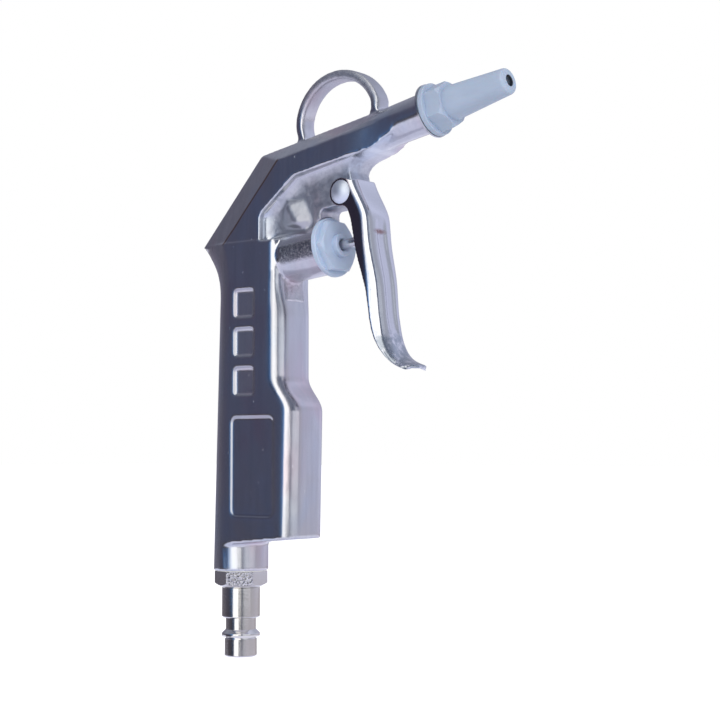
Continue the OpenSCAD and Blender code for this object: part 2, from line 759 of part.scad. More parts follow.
module nozzle_seal() {
    color("black")
    on_barrel(-nozzle_thread_l + washer_t - nozzle_seal_wire / 2 - fit_gap / 2)
        ring(nozzle_thread_d - 2 * nozzle_seal_wire, nozzle_seal_wire);
}

// Valve plug with its sealing rings

gland_seal_d = chamber_d + 2 * gland_seal_wire + 2 * fit_gap;
gland_seal_groove_l = gland_seal_wire + fit_gap;
sleeve_groove_l = sleeve_seal_wire + 2 * fit_gap;
sleeve_groove_d = chamber_d - 2 * sleeve_seal_wire - 2 * fit_gap;
sleeve_seal_l = seat_l - 2 * sleeve_seal_wire;
stem_pocket_d = stem_d + 2 * stem_seal_wire + 2 * fit_gap;
stem_pocket_l = stem_seal_l + stem_seal_wire + keeper_t + 3 * fit_gap;

module valve_plug() {
    hex_l = gland_flange_t;
    end_l = hex_l + gland_hex_l + gland_collar_l;
    edge = gland_flange_t / 4;
    color("lightsteelblue")
    on_valve()
        difference() {
            union() {
                rotate_extrude()
                    polygon(concat(
                        [[0, -seat_l], [sleeve_d / 2, -seat_l],
                        [sleeve_d / 2, -gland_thread_l], [chamber_d / 2 - fit_gap, -gland_thread_l],
                        [chamber_d / 2 - fit_gap, 0], [gland_flange_d / 2 - edge, 0]],
                        arc([gland_flange_d / 2 - edge, edge], edge, -90, 0, 4),
                        arc([gland_flange_d / 2 - edge, hex_l - edge], edge, 0, 90, 4),
                        [[gland_collar_d / 2, hex_l], [gland_collar_d / 2, end_l - edge],
                        [gland_collar_d / 2 - edge, end_l], [0, end_l]]));
                // A wider bed for the ring near the seat, which the groove is cut into
                translate([0, 0, -sleeve_seal_l - sleeve_seal_wire])
                    cylinder(d = chamber_d - 2 * run_gap, h = 2 * sleeve_seal_wire);
                translate([0, 0, hex_l])
                    rotate([0, 0, 30])
                        nut(gland_hex_af, gland_hex_l, 0, gland_hex_l / 2);
            }
            translate([0, 0, -seat_l - over])
                cylinder(d = stem_d + 2 * run_gap, h = seat_l + end_l + 2 * over);
            translate([0, 0, end_l - stem_d / 4])
                cylinder(d1 = stem_d + 2 * run_gap, d2 = 2 * stem_d, h = stem_d / 2);
            translate([0, 0, -seat_l - over])
                cylinder(d = air_d, h = seat_l - stem_pocket_l + over);
            translate([0, 0, -stem_pocket_l])
                cylinder(d = stem_pocket_d, h = stem_pocket_l - stem_seal_l);
            translate([0, 0, -port_l])
                for (a = [0, 90])
                    rotate([0, 0, a])
                        rotate([90, 0, 0])
                            cylinder(d = port_d, h = 2 * sleeve_d, center = true);
            translate([0, 0, -sleeve_seal_l - sleeve_groove_l / 2])
                difference() {
                    cylinder(d = chamber_d + over, h = sleeve_groove_l);
                    translate([0, 0, -over])
                        cylinder(d = sleeve_groove_d, h = sleeve_groove_l + 2 * over);
                }
        }
}

module flange_seal() {
    color("black")
    on_valve(-gland_seal_wire / 2 - fit_gap / 2) ring(chamber_d, gland_seal_wire);
}

module sleeve_seal() {
    color("black")
    on_valve(-sleeve_seal_l) ring(chamber_d - 2 * sleeve_seal_wire - fit_gap, sleeve_seal_wire);
}

module stem_seal() {
    color("black")
    on_valve(-stem_seal_l - stem_seal_wire / 2 - fit_gap) ring(stem_d + fit_gap, stem_seal_wire);
}

module seal_keeper() {
    color("gold")
    on_valve(-stem_pocket_l)
        difference() {
            cylinder(d = stem_pocket_d - 2 * fit_gap, h = keeper_t);
            translate([0, 0, -over])
                cylinder(d = stem_d + 4 * run_gap, h = keeper_t + 2 * over);
        }
}

// Stem, valve head, rubber face and spring

face_l = seat_l + face_t + fit_gap;
head_l = face_l + head_t;
clinch_l = head_l + clinch_t;
spring_l = chamber_l - head_l;

module valve_stem() {
    color("silver")
    on_valve()
        rotate_extrude()
            polygon(concat(
                [[0, -clinch_l], [stem_end_d / 2 + clinch_t / 2, -clinch_l],
                [stem_end_d / 2 + clinch_t, -head_l], [stem_end_d / 2, -head_l],
                [stem_end_d / 2, -face_l + face_t], [stem_d / 2, -face_l + face_t]],
                arc([0, stem_reach - stem_d / 2], stem_d / 2, 0, 90, 8)));
}

module valve_head() {
    color("goldenrod")
    on_valve(-head_l)
        difference() {
            union() {
                cylinder(d = head_d, h = head_t);
                translate([0, 0, -clinch_t])
                    cylinder(d = (spring_d - 2 * spring_wire) * cos(180 / curl_rings) - 2 * fit_gap,
                        h = head_t);
            }
            translate([0, 0, -over])
                cylinder(d = stem_end_d + 2 * fit_gap, h = head_t + 2 * over);
            translate([0, 0, -clinch_t - over])
                cylinder(d = stem_end_d + 2 * clinch_t + 2 * fit_gap, h = clinch_t + over);
        }
}

module valve_face() {
    color("black")
    on_valve(-face_l)
        difference() {
            cylinder(d = head_d, h = face_t);
            translate([0, 0, -over])
                cylinder(d = stem_end_d + 2 * fit_gap, h = face_t + 2 * over);
        }
}

// The spring's centre line: one dead curl at each end and an even pitch between
spring_mean_r = (spring_d - spring_wire) / 2;
spring_free = spring_l - spring_wire - 2 * fit_gap;
spring_turns = [for (i = [0:spring_curls * curl_rings]) i / curl_rings];
dead_pitch = 1.5 * spring_wire;
live_pitch = (spring_free - 2 * dead_pitch) / (spring_curls - 2);
function spring_rise(t) =
    min(t, 1) * dead_pitch + max(0, min(t - 1, spring_curls - 2)) * live_pitch
    + max(0, t - spring_curls + 1) * dead_pitch;
function spring_point(t) =
    [spring_mean_r * cos(360 * t), spring_mean_r * sin(360 * t), spring_rise(t)];
spring_least_gap = min([for (a = spring_turns, b = spring_turns) if (b - a > 1 / 2)
    norm(spring_point(b) - spring_point(a)) - spring_wire]);
echo(spring_least_gap = spring_least_gap);

module valve_spring() {
    color("silver")
    on_valve(-chamber_l + spring_wire / 2 + fit_gap)
        skin([for (t = spring_turns)
            [for (k = [0:curl_sides - 1]) let (a = 360 * k / curl_sides, r = spring_mean_r
                + spring_wire / 2 * cos(a))
                [r * cos(360 * t), r * sin(360 * t), spring_rise(t) + spring_wire / 2 * sin(a)]]],
            clockwise = true);
}

// Lever: a pressed channel that follows a line of two straights, a knee and a curl

knee_a = lever_upper_a - lever_long_a;
knee_l = lever_knee_r * knee_a * PI / 180;
curl_a = lever_tip_a - lever_long_a;
curl_l = lever_curl_r * curl_a * PI / 180;
ear_top_l = ear_r + lever_t;
upper_l = ear_top_l + lever_upper_l - lever_top;
lever_l = upper_l + knee_l + lever_long_l + curl_l;
inner_half = lever_w / 2 - lever_t;

// Unit vectors along the lever's face and out of it, for an angle from the vertical
function along(a) = [sin(a), -cos(a)];
function outward(a) = [cos(a), sin(a)];

face_start = pivot + lever_front * outward(lever_upper_a) - ear_top_l * along(lever_upper_a);
knee_start = face_start + upper_l * along(lever_upper_a);
long_start = knee_start + lever_knee_r * (outward(lever_long_a) - outward(lever_upper_a));
curl_start = long_start + lever_long_l * along(lever_long_a);

// The face's place and angle at a distance s from the upper end
function face_angle(s) =
    s < upper_l ? lever_upper_a
    : s < upper_l + knee_l ? lever_upper_a - (s - upper_l) / knee_l * knee_a
    : s < lever_l - curl_l ? lever_long_a
    : lever_long_a + (s - lever_l + curl_l) / curl_l * curl_a;
function face_point(s) =
    let (a = face_angle(s))
    s < upper_l ? face_start + s * along(a)
    : s < upper_l + knee_l ? knee_start + lever_knee_r * (outward(a) - outward(lever_upper_a))
    : s < lever_l - curl_l ? long_start + (s - upper_l - knee_l) * along(a)
    : curl_start + lever_curl_r * (outward(lever_long_a) - outward(a));

// Depth of the channel's sides along the lever, in shares of its length and of the depth at the ears
depth_shares = [[0, 1], [0.26, 1], [0.36, 0.88], [0.46, 0.72], [0.56, 0.56], [0.65, 0.5], [1, 0.5]];
lever_depth = lever_front - lever_t / 2;
function depth_at(s) = lever_depth * lookup(min(1, s / lever_l), depth_shares);
// The groove fades in below the knee and out before the tip, in shares of the length
groove_shares = [[0, 0], [0.24, 0], [0.3, 1], [0.74, 1], [0.82, 0], [1, 0]];
function groove_at(s) = groove_depth * lookup(s / lever_l, groove_shares);

// One section of the channel, as deep as the ears: out along the outer side and back along the inner one
ear_depth = lever_front + ear_r + lever_t;
function lever_loop(s) =
    let (p = face_point(s), a = face_angle(s), out = outward(a), w = lever_w / 2, d = ear_depth,
        g = groove_at(s), r = lever_bend_r, ri = lever_bend_r - lever_t, t = lever_t,
        gw = min(groove_w / 2, w - r + g), gf = gw - groove_depth,
        outer = concat([[-w, d]], [for (q = arc([-w + r, r], r, 180, 270, 4)) q],
            [[-gw, 0], [-gf, g], [gf, g], [gw, 0]],
            [for (q = arc([w - r, r], r, 270, 360, 4)) q], [[w, d]]),
        inner = concat([[w - t, d]], [for (q = arc([w - r, r], ri, 360, 270, 4)) q],
            [[gw, t], [gf, t + g], [-gf, t + g], [-gw, t]],
            [for (q = arc([-w + r, r], ri, 270, 180, 4)) q], [[-w + t, d]]))
    [for (q = concat(outer, inner)) [p[0] - q[1] * out[0], q[0], p[1] - q[1] * out[1]]];

lever_stations = concat(
    [0],
    [for (i = [0:4]) upper_l + knee_l * i / 4],
    [for (i = [1:6]) upper_l + knee_l + lever_long_l * i / 6],
    [for (i = [1:12]) lever_l - curl_l + curl_l * i / 12]);

// The lever seen from the side: the channel down to its rear edge, and the ears with their fillets.
// The points behind the face are given by their distance along it and their depth
module lever_outline() {
    function place(s, depth) = face_point(s) - depth * outward(face_angle(s));
    edge_l = ear_top_l - lever_top;
    steps = [for (i = [0:outline_steps]) edge_l + (lever_l + over - edge_l) * i / outline_steps];
    rise = lever_depth + ear_fillet_r - lever_front;
    fillet_l = ear_top_l + sqrt(pow(ear_r + ear_fillet_r, 2) - rise * rise);
    fillet_a = atan2(rise, fillet_l - ear_top_l);
    rear = concat(
        [for (i = [outline_steps:-1:0]) if (steps[i] > fillet_l) [steps[i], depth_at(steps[i])]],
        arc([fillet_l, lever_depth + ear_fillet_r], ear_fillet_r, 270, 180 + fillet_a, corner_steps),
        arc([ear_top_l, lever_front], ear_r, fillet_a, 210, 4 * corner_steps),
        [[edge_l, lever_bend_r / 2]]);
    polygon(concat([for (s = steps) place(s, -over)], [for (q = rear) place(q[0], q[1])]));
}

// What is cut away round the lever's tip
module tip_trim() {
    tip = face_point(lever_l);
    translate([tip[0] - lever_tip_r, 0, tip[1] - lever_w])
        difference() {
            translate([0, -lever_w, 0]) cube([2 * lever_tip_r, 2 * lever_w, 2 * lever_w]);
            translate([0, 0, -over]) cylinder(r = lever_tip_r, h = 2 * lever_w + 2 * over);
        }
}

module lever() {
    color("gainsboro")
    difference() {
        intersection() {
            skin([for (s = lever_stations) lever_loop(s)], band = true, clockwise = true);
            side(lever_w + over) lever_outline();
        }
        tip_trim();
        on_pivot() cylinder(d = pin_d + 2 * run_gap, h = body_t, center = true);
    }
}

// Pivot pin: a rivet with a low domed head and a flatter clinched end

module pivot_pin() {
    seat = lever_w / 2 + fit_gap;
    head_half = pin_head_d / 2;
    dome_r = (head_half * head_half + pin_head_h * pin_head_h) / (2 * pin_head_h);
    dome_a = asin(head_half / dome_r);
    end_h = pin_head_h * 2 / 3;
    color("silver")
    on_pivot()
        rotate_extrude()
            polygon(concat(
                [[0, -seat - end_h], [head_half * 2 / 3, -seat - end_h], [head_half - end_h / 4, -seat],
                [pin_d / 2, -seat], [pin_d / 2, seat]],
                arc([0, seat + pin_head_h - dome_r], dome_r, 90 - dome_a, 90, 10)));
}

body();
inlet_plug();
inlet_seal();
nozzle();
nozzle_washer();
nozzle_seal();
valve_plug();
flange_seal();
sleeve_seal();
stem_seal();
seal_keeper();
valve_stem();
valve_head();
valve_face();
valve_spring();
lever();
pivot_pin();
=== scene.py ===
"""Gives the air duster its looks: soft cast edges, turned and moulded pieces, finishes and a plain studio."""
import math
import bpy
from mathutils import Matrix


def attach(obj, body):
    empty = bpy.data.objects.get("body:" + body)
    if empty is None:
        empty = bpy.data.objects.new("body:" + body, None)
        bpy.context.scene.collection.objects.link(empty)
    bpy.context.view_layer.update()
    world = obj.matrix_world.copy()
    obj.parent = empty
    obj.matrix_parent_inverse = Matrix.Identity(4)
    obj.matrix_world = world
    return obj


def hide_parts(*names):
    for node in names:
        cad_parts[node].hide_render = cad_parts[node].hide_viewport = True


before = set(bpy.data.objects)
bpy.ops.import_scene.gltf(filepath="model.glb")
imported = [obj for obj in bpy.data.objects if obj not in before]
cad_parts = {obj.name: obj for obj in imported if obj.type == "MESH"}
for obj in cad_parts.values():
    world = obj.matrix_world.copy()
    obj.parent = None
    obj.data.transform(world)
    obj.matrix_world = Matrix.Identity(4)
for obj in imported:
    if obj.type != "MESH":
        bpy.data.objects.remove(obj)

from types import SimpleNamespace

import bmesh
import bpy
from bpy.props import FloatProperty, FloatVectorProperty, IntProperty, PointerProperty
from mathutils import Matrix, Vector

bl_info = {
    "name": "Air Duster Looks",
    "version": (1, 0, 0),
    "blender": (4, 5, 0),
    "location": "View3D > Sidebar > Air Duster",
    "description": "Cast, plated, moulded and turned pieces of an air duster, with finishes and a studio",
    "category": "Object",
}

bpy.context.view_layer.update()
MM = 0.001
ROUND_STEPS = 96

# The barrel's, the valve's and the shoulder crease's lines: where each starts and how it rises
BARREL_END = (75.2 * MM, 0, 164.3 * MM)
BARREL_RISE = math.radians(11)
VALVE_START = (36.5 * MM, 0, 126.9 * MM)
VALVE_RISE = math.radians(6.5)
CREASE_START = (-0.21 * MM, 0, 130.2 * MM)
CREASE_RISE = math.radians(47.3)
CREASE_L = 33 * MM

# The grip: its front foot's x and height, the front's lean, the step back above it, its corners and half
# the grip's width
FRONT_X = 26.5 * MM
FRONT_Z = 26.9 * MM
FRONT_LEAN = math.radians(1.2)
FRONT_STEP = (77 * MM, 87.5 * MM)
UPPER_FRONT_X = 21.9 * MM
CORNER_R = 3 * MM
GRIP_HALF = 8.8 * MM

# How the grip's front is reshaped: between which heights, where this fades out, where its corners begin
# to open, how deep it reaches, the corners' radii at the waist and below, its crown and its step forward
RESHAPED_Z = (24 * MM, 117 * MM)
FADE_Z = 106 * MM
CORNERS_Z = 30 * MM
FRONT_DEPTH = 6.5 * MM
OPEN_R = (3.1 * MM, 4.8 * MM)
FRONT_CROWN = 0.45 * MM
FRONT_FORWARD = 1.5 * MM

# The side panel's front end, by places along the barrel's axis: its taper, the taper's end, half its width
# there and half its height, and the part of the barrel that is smoothed again, outside a radius
PANEL_TAPER = (-28 * MM, -11 * MM)
PANEL_END = (-10.8 * MM, -9.5 * MM)
PANEL_HALF = 5.9 * MM
PANEL_HALF_HEIGHT = 6 * MM
SMOOTHED_END = (-16 * MM, -0.9 * MM)
SMOOTHED_R = 5.5 * MM

# The hook: its foot over the barrel's axis, its middle, and the share and the heights by which it spreads
HOOK_FOOT = 6.2 * MM
HOOK_MIDDLE = 41.6 * MM
HOOK_SPREAD = 0.06
SPREAD_FADE = (6.4 * MM, 10 * MM)

# The inlet plug's hexagon: half its width, the way its first flat faces and the way the flat in view faces
PLUG_HALF = 7.25 * MM
PLUG_TURN = math.radians(8.6)
FLAT_TURN = PLUG_TURN - math.radians(60)


def outward(turn):
    """The way out of the lever's face, as x and z, where it turns from the vertical by turn."""
    return Vector((math.cos(turn), math.sin(turn)))


def down(turn):
    """The way down the lever's face, as x and z, where it turns from the vertical by turn."""
    return Vector((math.sin(turn), -math.cos(turn)))


# The lever's face: two straights joined by a knee, and a curl, as turns from the vertical and lengths
FACE_START = Vector((49.232 * MM, 149.707 * MM))
UPPER_TURN = math.radians(20.4)
UPPER_L = 14.4 * MM
KNEE_R = 14 * MM
LONG_TURN = math.radians(5.5)
LONG_L = 27.3 * MM
CURL_R = 17.8 * MM

# Where its second straight and its curl start, along the face and as x and z, and its bends' centres
LONG_L0 = UPPER_L + KNEE_R * (UPPER_TURN - LONG_TURN)
CURL_L0 = LONG_L0 + LONG_L
KNEE_CENTRE = FACE_START + UPPER_L * down(UPPER_TURN) - KNEE_R * outward(UPPER_TURN)
LONG_START = KNEE_CENTRE + KNEE_R * outward(LONG_TURN)
CURL_CENTRE = LONG_START + LONG_L * down(LONG_TURN) + CURL_R * outward(LONG_TURN)

# The lever's sheet, its bends beside the face, half its width and the middle of the reddish-brown spot
# painted at the knee as shade and reflection
SHEET = 1.2 * MM
BEND_R = 2.2 * MM
LEVER_HALF = 6.5 * MM
PAINTED_KNEE_SPOT = (56.5 * MM, -0.2 * MM, 130.3 * MM)

# How the lever is reshaped, by places along its face: its bends' radii and where they open out, its crown,
# its bulges with their depth and end, how far and where its sides thin out, and where its groove is softened
OPEN_BEND_R = (2.8 * MM, 4.1 * MM)
BEND_FADE = (20 * MM, 46 * MM)
LEVER_CROWN = 0.3 * MM
CROWN_HALF = 4 * MM
CROWN_FADE = (6 * MM, 20 * MM)
BULGES = ((1.5 * MM, (4 * MM, 16 * MM)), (1.4 * MM, (22 * MM, 38 * MM)))
BULGE_DEPTH = 3 * MM
BULGE_END = (47 * MM, 63 * MM)
TIP_THINNING = 0.85
TIP_FADE = (50 * MM, 66 * MM)
GROOVE_HALF = 3.6 * MM
GROOVE_TOP = 139 * MM

# The photograph's camera
CAMERA_PLACE = (0.3582, -0.3882, 0.0643)
CAMERA_TURN = math.radians(38.6)
CAMERA_RISE = math.radians(3.2)
FOCAL_PX = 1650
IMAGE_PX = 720
SENSOR_MM = 36

# The studio, in metres
FLOOR_HALF = 6
LAMP_WIDTH = 0.5
LAMP_HEIGHT = 0.7
LAMP_AIM = (0.04, 0, 0.1)
KEY_PLACE = (0.05, -0.7, 0.6)
FILL_PLACE = (0.62, -0.4, 0.3)

# What polished metal sees round it, as colours by degrees to the right of the camera
SOFTBOX = None
BACK_LEFT = (
    (-180, (0.34, 0.34, 0.42)), (-150, (0.2, 0.2, 0.27)), (-115, (0.12, 0.12, 0.165)),
    (-88, (0.085, 0.085, 0.14)))
ROOM = {
    "level": (
        *BACK_LEFT, (-70, (0.075, 0.1, 0.18)), (-57, (0.08, 0.2, 0.45)), (-46, (0.24, 0.5, 0.95)),
        (-38, SOFTBOX), (2, SOFTBOX), (7, (0.22, 0.25, 0.34)), (12, (0.22, 0.25, 0.34)),
        (19, (1.0, 1.05, 1.15)), (60, (0.9, 0.94, 1.05)), (68, (0.4, 0.43, 0.52)), (76, (0.54, 0.57, 0.7)),
        (85, (0.52, 0.55, 0.68)), (103, (0.6, 0.63, 0.85)), (125, (0.74, 0.77, 1.0)),
        (155, (0.55, 0.57, 0.75)), (180, (0.34, 0.34, 0.42))),
    "middle": (
        *BACK_LEFT, (-60, (0.07, 0.09, 0.16)), (-46, (0.2, 0.42, 0.8)), (-41, SOFTBOX), (-1, SOFTBOX),
        (4, (0.1, 0.12, 0.18)), (28, (0.14, 0.17, 0.25)), (38, (0.6, 0.65, 0.75)), (60, (0.42, 0.44, 0.52)),
        (85, (0.46, 0.49, 0.6)), (112, (0.64, 0.67, 0.88)), (150, (0.55, 0.57, 0.75)),
        (180, (0.34, 0.34, 0.42))),
    "high": (
        (-180, (0.34, 0.35, 0.44)), (-135, (0.28, 0.3, 0.38)), (-90, (0.18, 0.19, 0.26)),
        (-55, (0.14, 0.2, 0.32)), (-45, SOFTBOX), (-5, SOFTBOX), (2, (0.16, 0.19, 0.27)),
        (30, (0.18, 0.21, 0.29)), (80, (0.48, 0.51, 0.64)), (112, (0.7, 0.74, 0.96)),
        (150, (0.42, 0.45, 0.58)), (180, (0.36, 0.37, 0.46))),
    "near": (
        (-180, (0.3, 0.28, 0.31)), (-120, (0.12, 0.11, 0.135)), (-60, (0.045, 0.043, 0.055)),
        (-48, (0.05, 0.048, 0.06)), (-44, SOFTBOX), (-15, SOFTBOX), (-11, (0.02, 0.02, 0.025)),
        (17, (0.02, 0.02, 0.025)), (26, (0.25, 0.24, 0.27)), (60, (0.43, 0.4, 0.44)),
        (120, (0.52, 0.49, 0.54)), (180, (0.3, 0.28, 0.31))),
}
FLOOR_NEAR = (0.92, 0.94, 1.14)
FLOOR_BELOW = (0.74, 0.76, 0.98)


# Shader values and materials


def pin(sockets, key):
    """The socket with that number, identifier or name."""
    if isinstance(key, int):
        return sockets[key]
    return next((s for s in sockets if s.identifier == key), None) or sockets[key]


class Wire:
    """A value, colour or vector in a node tree. Arithmetic on a value adds Math nodes."""

    def __init__(self, finish, socket):
        self.finish = finish
        self.socket = socket

    def maths(self, operation, *values):
        return self.finish.add("ShaderNodeMath", {"operation": operation}, dict(enumerate(values)))[0]

    def __add__(self, other):
        return self.maths("ADD", self, other)

    def __sub__(self, other):
        return self.maths("SUBTRACT", self, other)

    def __rsub__(self, other):
        return self.maths("SUBTRACT", other, self)

    def __mul__(self, other):
        return self.maths("MULTIPLY", self, other)

    def __truediv__(self, other):
        return self.maths("DIVIDE", self, other)

    __radd__ = __add__
    __rmul__ = __mul__

    def size(self):
        return self.maths("ABSOLUTE", self)

    def most(self, other):
        return self.maths("MAXIMUM", self, other)

    def rise(self, low, high):
        """0 below low, 1 above high and a smooth step between; low may be the larger."""
        settings = {"interpolation_type": "SMOOTHSTEP"}
        inputs = {"Value": self, "From Min": low, "From Max": high}
        return self.finish.add("ShaderNodeMapRange", settings, inputs)[0]

    def between(self, low, high, soft):
        """1 from low to high, fading out over soft on each side."""
        return self.rise(low - soft, low) * self.rise(high + soft, high)


class Made:
    """A node just made, whose outputs are picked by name or number."""

    def __init__(self, finish, node):
        self.finish = finish
        self.node = node

    def __getitem__(self, key):
        return Wire(self.finish, pin(self.node.outputs, key))


class Finish:
    """A material's or the world's nodes under construction."""

    def __init__(self, block):
        block.use_nodes = True
        self.block = block
        self.tree = block.node_tree
        self.tree.nodes.clear()

    def add(self, kind, settings=None, inputs=None):
        """Makes one node: its settings, a ramp's stops among them, then its sockets' values or links."""
        node = self.tree.nodes.new(kind)
        for name, value in (settings or {}).items():
            if name == "stops":
                self.fill_ramp(node.color_ramp, value)
            else:
                setattr(node, name, value)
        for key, value in (inputs or {}).items():
            socket = pin(node.inputs, key)
            if isinstance(value, Wire):
                self.tree.links.new(value.socket, socket)
            else:
                socket.default_value = value
        return Made(self, node)

    @staticmethod
    def fill_ramp(ramp, stops):
        while len(ramp.elements) < len(stops):
            ramp.elements.new(1)
        for element, (place, colour) in zip(ramp.elements, stops):
            element.position = place
            element.color = (*colour, 1)

    def place(self):
        """Where a point lies on the object, in metres."""
        return self.add("ShaderNodeTexCoord")["Object"]

    def rotated(self, vector, axis, turn):
        settings = {"rotation_type": f"{axis}_AXIS"}
        return self.add("ShaderNodeVectorRotate", settings, {"Vector": vector, "Angle": turn})["Vector"]

    def turned(self, vector, origin, turn):
        """The vector measured from origin, in axes turned by turn about Y."""
        moved = self.add("ShaderNodeVectorMath", {"operation": "SUBTRACT"}, {0: vector, 1: origin})["Vector"]
        return self.rotated(moved, "Y", turn)

    def parts(self, vector):
        split = self.add("ShaderNodeSeparateXYZ", None, {"Vector": vector})
        return split["X"], split["Y"], split["Z"]

    def noise(self, vector, grain, detail=2, roughness=0.5, distortion=0):
        """Noise with features about grain metres across."""
        inputs = {"Vector": vector, "Scale": 1 / grain, "Detail": detail, "Roughness": roughness,
                  "Distortion": distortion}
        return self.add("ShaderNodeTexNoise", None, inputs)["Fac"]

    def cells(self, vector, grain):
        """The distance from the nearest of points about grain metres apart, 1 being that far."""
        return self.add("ShaderNodeTexVoronoi", None, {"Vector": vector, "Scale": 1 / grain})["Distance"]

    def stretched(self, vector, scale):
        return self.add("ShaderNodeVectorMath", {"operation": "MULTIPLY"}, {0: vector, 1: scale})["Vector"]

    def blend(self, share, a, b):
        """A colour that goes from a to b as share goes from 0 to 1."""
        def colour(c):
            return c if isinstance(c, Wire) else (*c, 1)
        inputs = {"Factor_Float": share, "A_Color": colour(a), "B_Color": colour(b)}
        return self.add("ShaderNodeMix", {"data_type": "RGBA"}, inputs)["Result_Color"]

    def coated(self, base, *coats):
        """The base colour under coats, each given as how much it hides of what lies below, and its colour."""
        for share, colour in coats:
            base = self.blend(share, base, colour)
        return base

    def bump(self, height, depth, normal=None):
        """Raises the surface by height times depth metres."""
        inputs = {"Height": height, "Distance": depth, "Strength": 1}
        if normal:
            inputs["Normal"] = normal
        return self.add("ShaderNodeBump", None, inputs)["Normal"]

    def surface(self, inputs):
        shader = self.add("ShaderNodeBsdfPrincipled", None, inputs)["BSDF"]
        self.add("ShaderNodeOutputMaterial", None, {"Surface": shader})
        return self.block

    def bare_metal(self, colour, roughness, normal):
        return self.surface({"Base Color": colour, "Roughness": roughness, "Metallic": 1.0, "Normal": normal})


def new_finish(name):
    return Finish(bpy.data.materials.new(name))


# Shapes


def turned_shape(outline):
    """A closed body of revolution about Z through the outline's points, as radius and height in mm."""
    shape = bmesh.new()
    points = [shape.verts.new((r * MM, 0, z * MM)) for r, z in outline]
    edges = [shape.edges.new(pair) for pair in zip(points, points[1:] + points[:1])]
    bmesh.ops.spin(
        shape, geom=points + edges, cent=(0, 0, 0), axis=(0, 0, 1), angle=math.tau, steps=ROUND_STEPS,
        use_merge=True)
    bmesh.ops.remove_doubles(shape, verts=shape.verts, dist=1e-7)
    bmesh.ops.recalc_face_normals(shape, faces=shape.faces)
    return shape


def cut_hexagon(shape, half, first):
    """Cuts six flats at half the width from the axis, one of them facing the angle first."""
    for i in range(6):
        a = first + math.tau * i / 6
        side = Vector((math.cos(a), math.sin(a), 0))
        geometry = shape.verts[:] + shape.edges[:] + shape.faces[:]
        cut = bmesh.ops.bisect_plane(
            shape, geom=geometry, dist=1e-8, plane_co=side * half, plane_no=side, clear_outer=True)
        rim = [e for e in cut["geom_cut"] if isinstance(e, bmesh.types.BMEdge)]
        bmesh.ops.holes_fill(shape, edges=rim, sides=0)
    bmesh.ops.recalc_face_normals(shape, faces=shape.faces)


def round_edges(shape, width, segments=2, sharp=math.radians(25)):
    """Rounds every edge that turns by more than sharp."""
    edges = [e for e in shape.edges if len(e.link_faces) == 2 and e.calc_face_angle(0) > sharp]
    bmesh.ops.bevel(
        shape, geom=edges, offset=width, offset_type="OFFSET", affect="EDGES", segments=segments, profile=0.5,
        material=-1, clamp_overlap=True)


def joined(shapes):
    """One bmesh that holds all the shapes."""
    whole = bmesh.new()
    for shape in shapes:
        mesh = bpy.data.meshes.new("part")
        shape.to_mesh(mesh)
        shape.free()
        whole.from_mesh(mesh)
        bpy.data.meshes.remove(mesh)
    return whole


def merged_copy(node):
    """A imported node's shape with its loose triangles joined."""
    shape = bmesh.new()
    shape.from_mesh(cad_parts[node].data)
    bmesh.ops.remove_doubles(shape, verts=shape.verts, dist=1e-6)
    return shape


def on_line(start, rise):
    """The matrix that sets a shape made about Z on a line from start, rising by rise towards the front."""
    return Matrix.Translation(start) @ Matrix.Rotation(math.radians(90) - rise, 4, "Y")


def make_piece(name, shape, body, replaced, finish, place=None, sharp=math.radians(40)):
    """Makes the shape an object that stands for the replaced node and rides on its body."""
    if place:
        bmesh.ops.transform(shape, matrix=place, verts=shape.verts)
    mesh = bpy.data.meshes.new(name)
    shape.to_mesh(mesh)
    shape.free()
    piece = bpy.data.objects.new(name, mesh)
    bpy.context.scene.collection.objects.link(piece)
    mesh.shade_smooth()
    if sharp:
        mesh.set_sharp_from_angle(angle=sharp)
    mesh.materials.append(finish)
    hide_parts(replaced)
    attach(piece, body)
    if sharp:
        finish_with(piece, "WEIGHTED_NORMAL", keep_sharp=True)
    return piece


def finish_with(piece, kind, **settings):
    """Applies a modifier, given by its kind and settings, to the piece."""
    modifier = piece.modifiers.new(kind.lower(), kind)
    for name, value in settings.items():
        setattr(modifier, name, value)
    graph = bpy.context.evaluated_depsgraph_get()
    finished = bpy.data.meshes.new_from_object(piece.evaluated_get(graph))
    finished.name = piece.data.name
    piece.modifiers.clear()
    piece.data = finished


def reskin(piece, voxel, reshape, passes):
    """Rebuilds the piece's skin on a grid, moves each of its points by reshape and smooths it."""
    finish_with(piece, "REMESH", mode="VOXEL", voxel_size=voxel, use_smooth_shade=True)
    for vertex in piece.data.vertices:
        vertex.co = reshape(vertex.co)
    finish_with(piece, "SMOOTH", factor=0.5, iterations=passes)


def smooth_where(piece, inside, passes):
    """Smooths the points of the piece for which inside is true."""
    shape = bmesh.new()
    shape.from_mesh(piece.data)
    chosen = [v for v in shape.verts if inside(v.co)]
    for _ in range(passes):
        bmesh.ops.smooth_vert(
            shape, verts=chosen, factor=0.5, use_axis_x=True, use_axis_y=True, use_axis_z=True)
    shape.to_mesh(piece.data)
    shape.free()


def ease(value, low, high):
    """0 below low, 1 above high and a smooth step between."""
    share = max(0.0, min(1.0, (value - low) / (high - low)))
    return share * share * (3 - 2 * share)


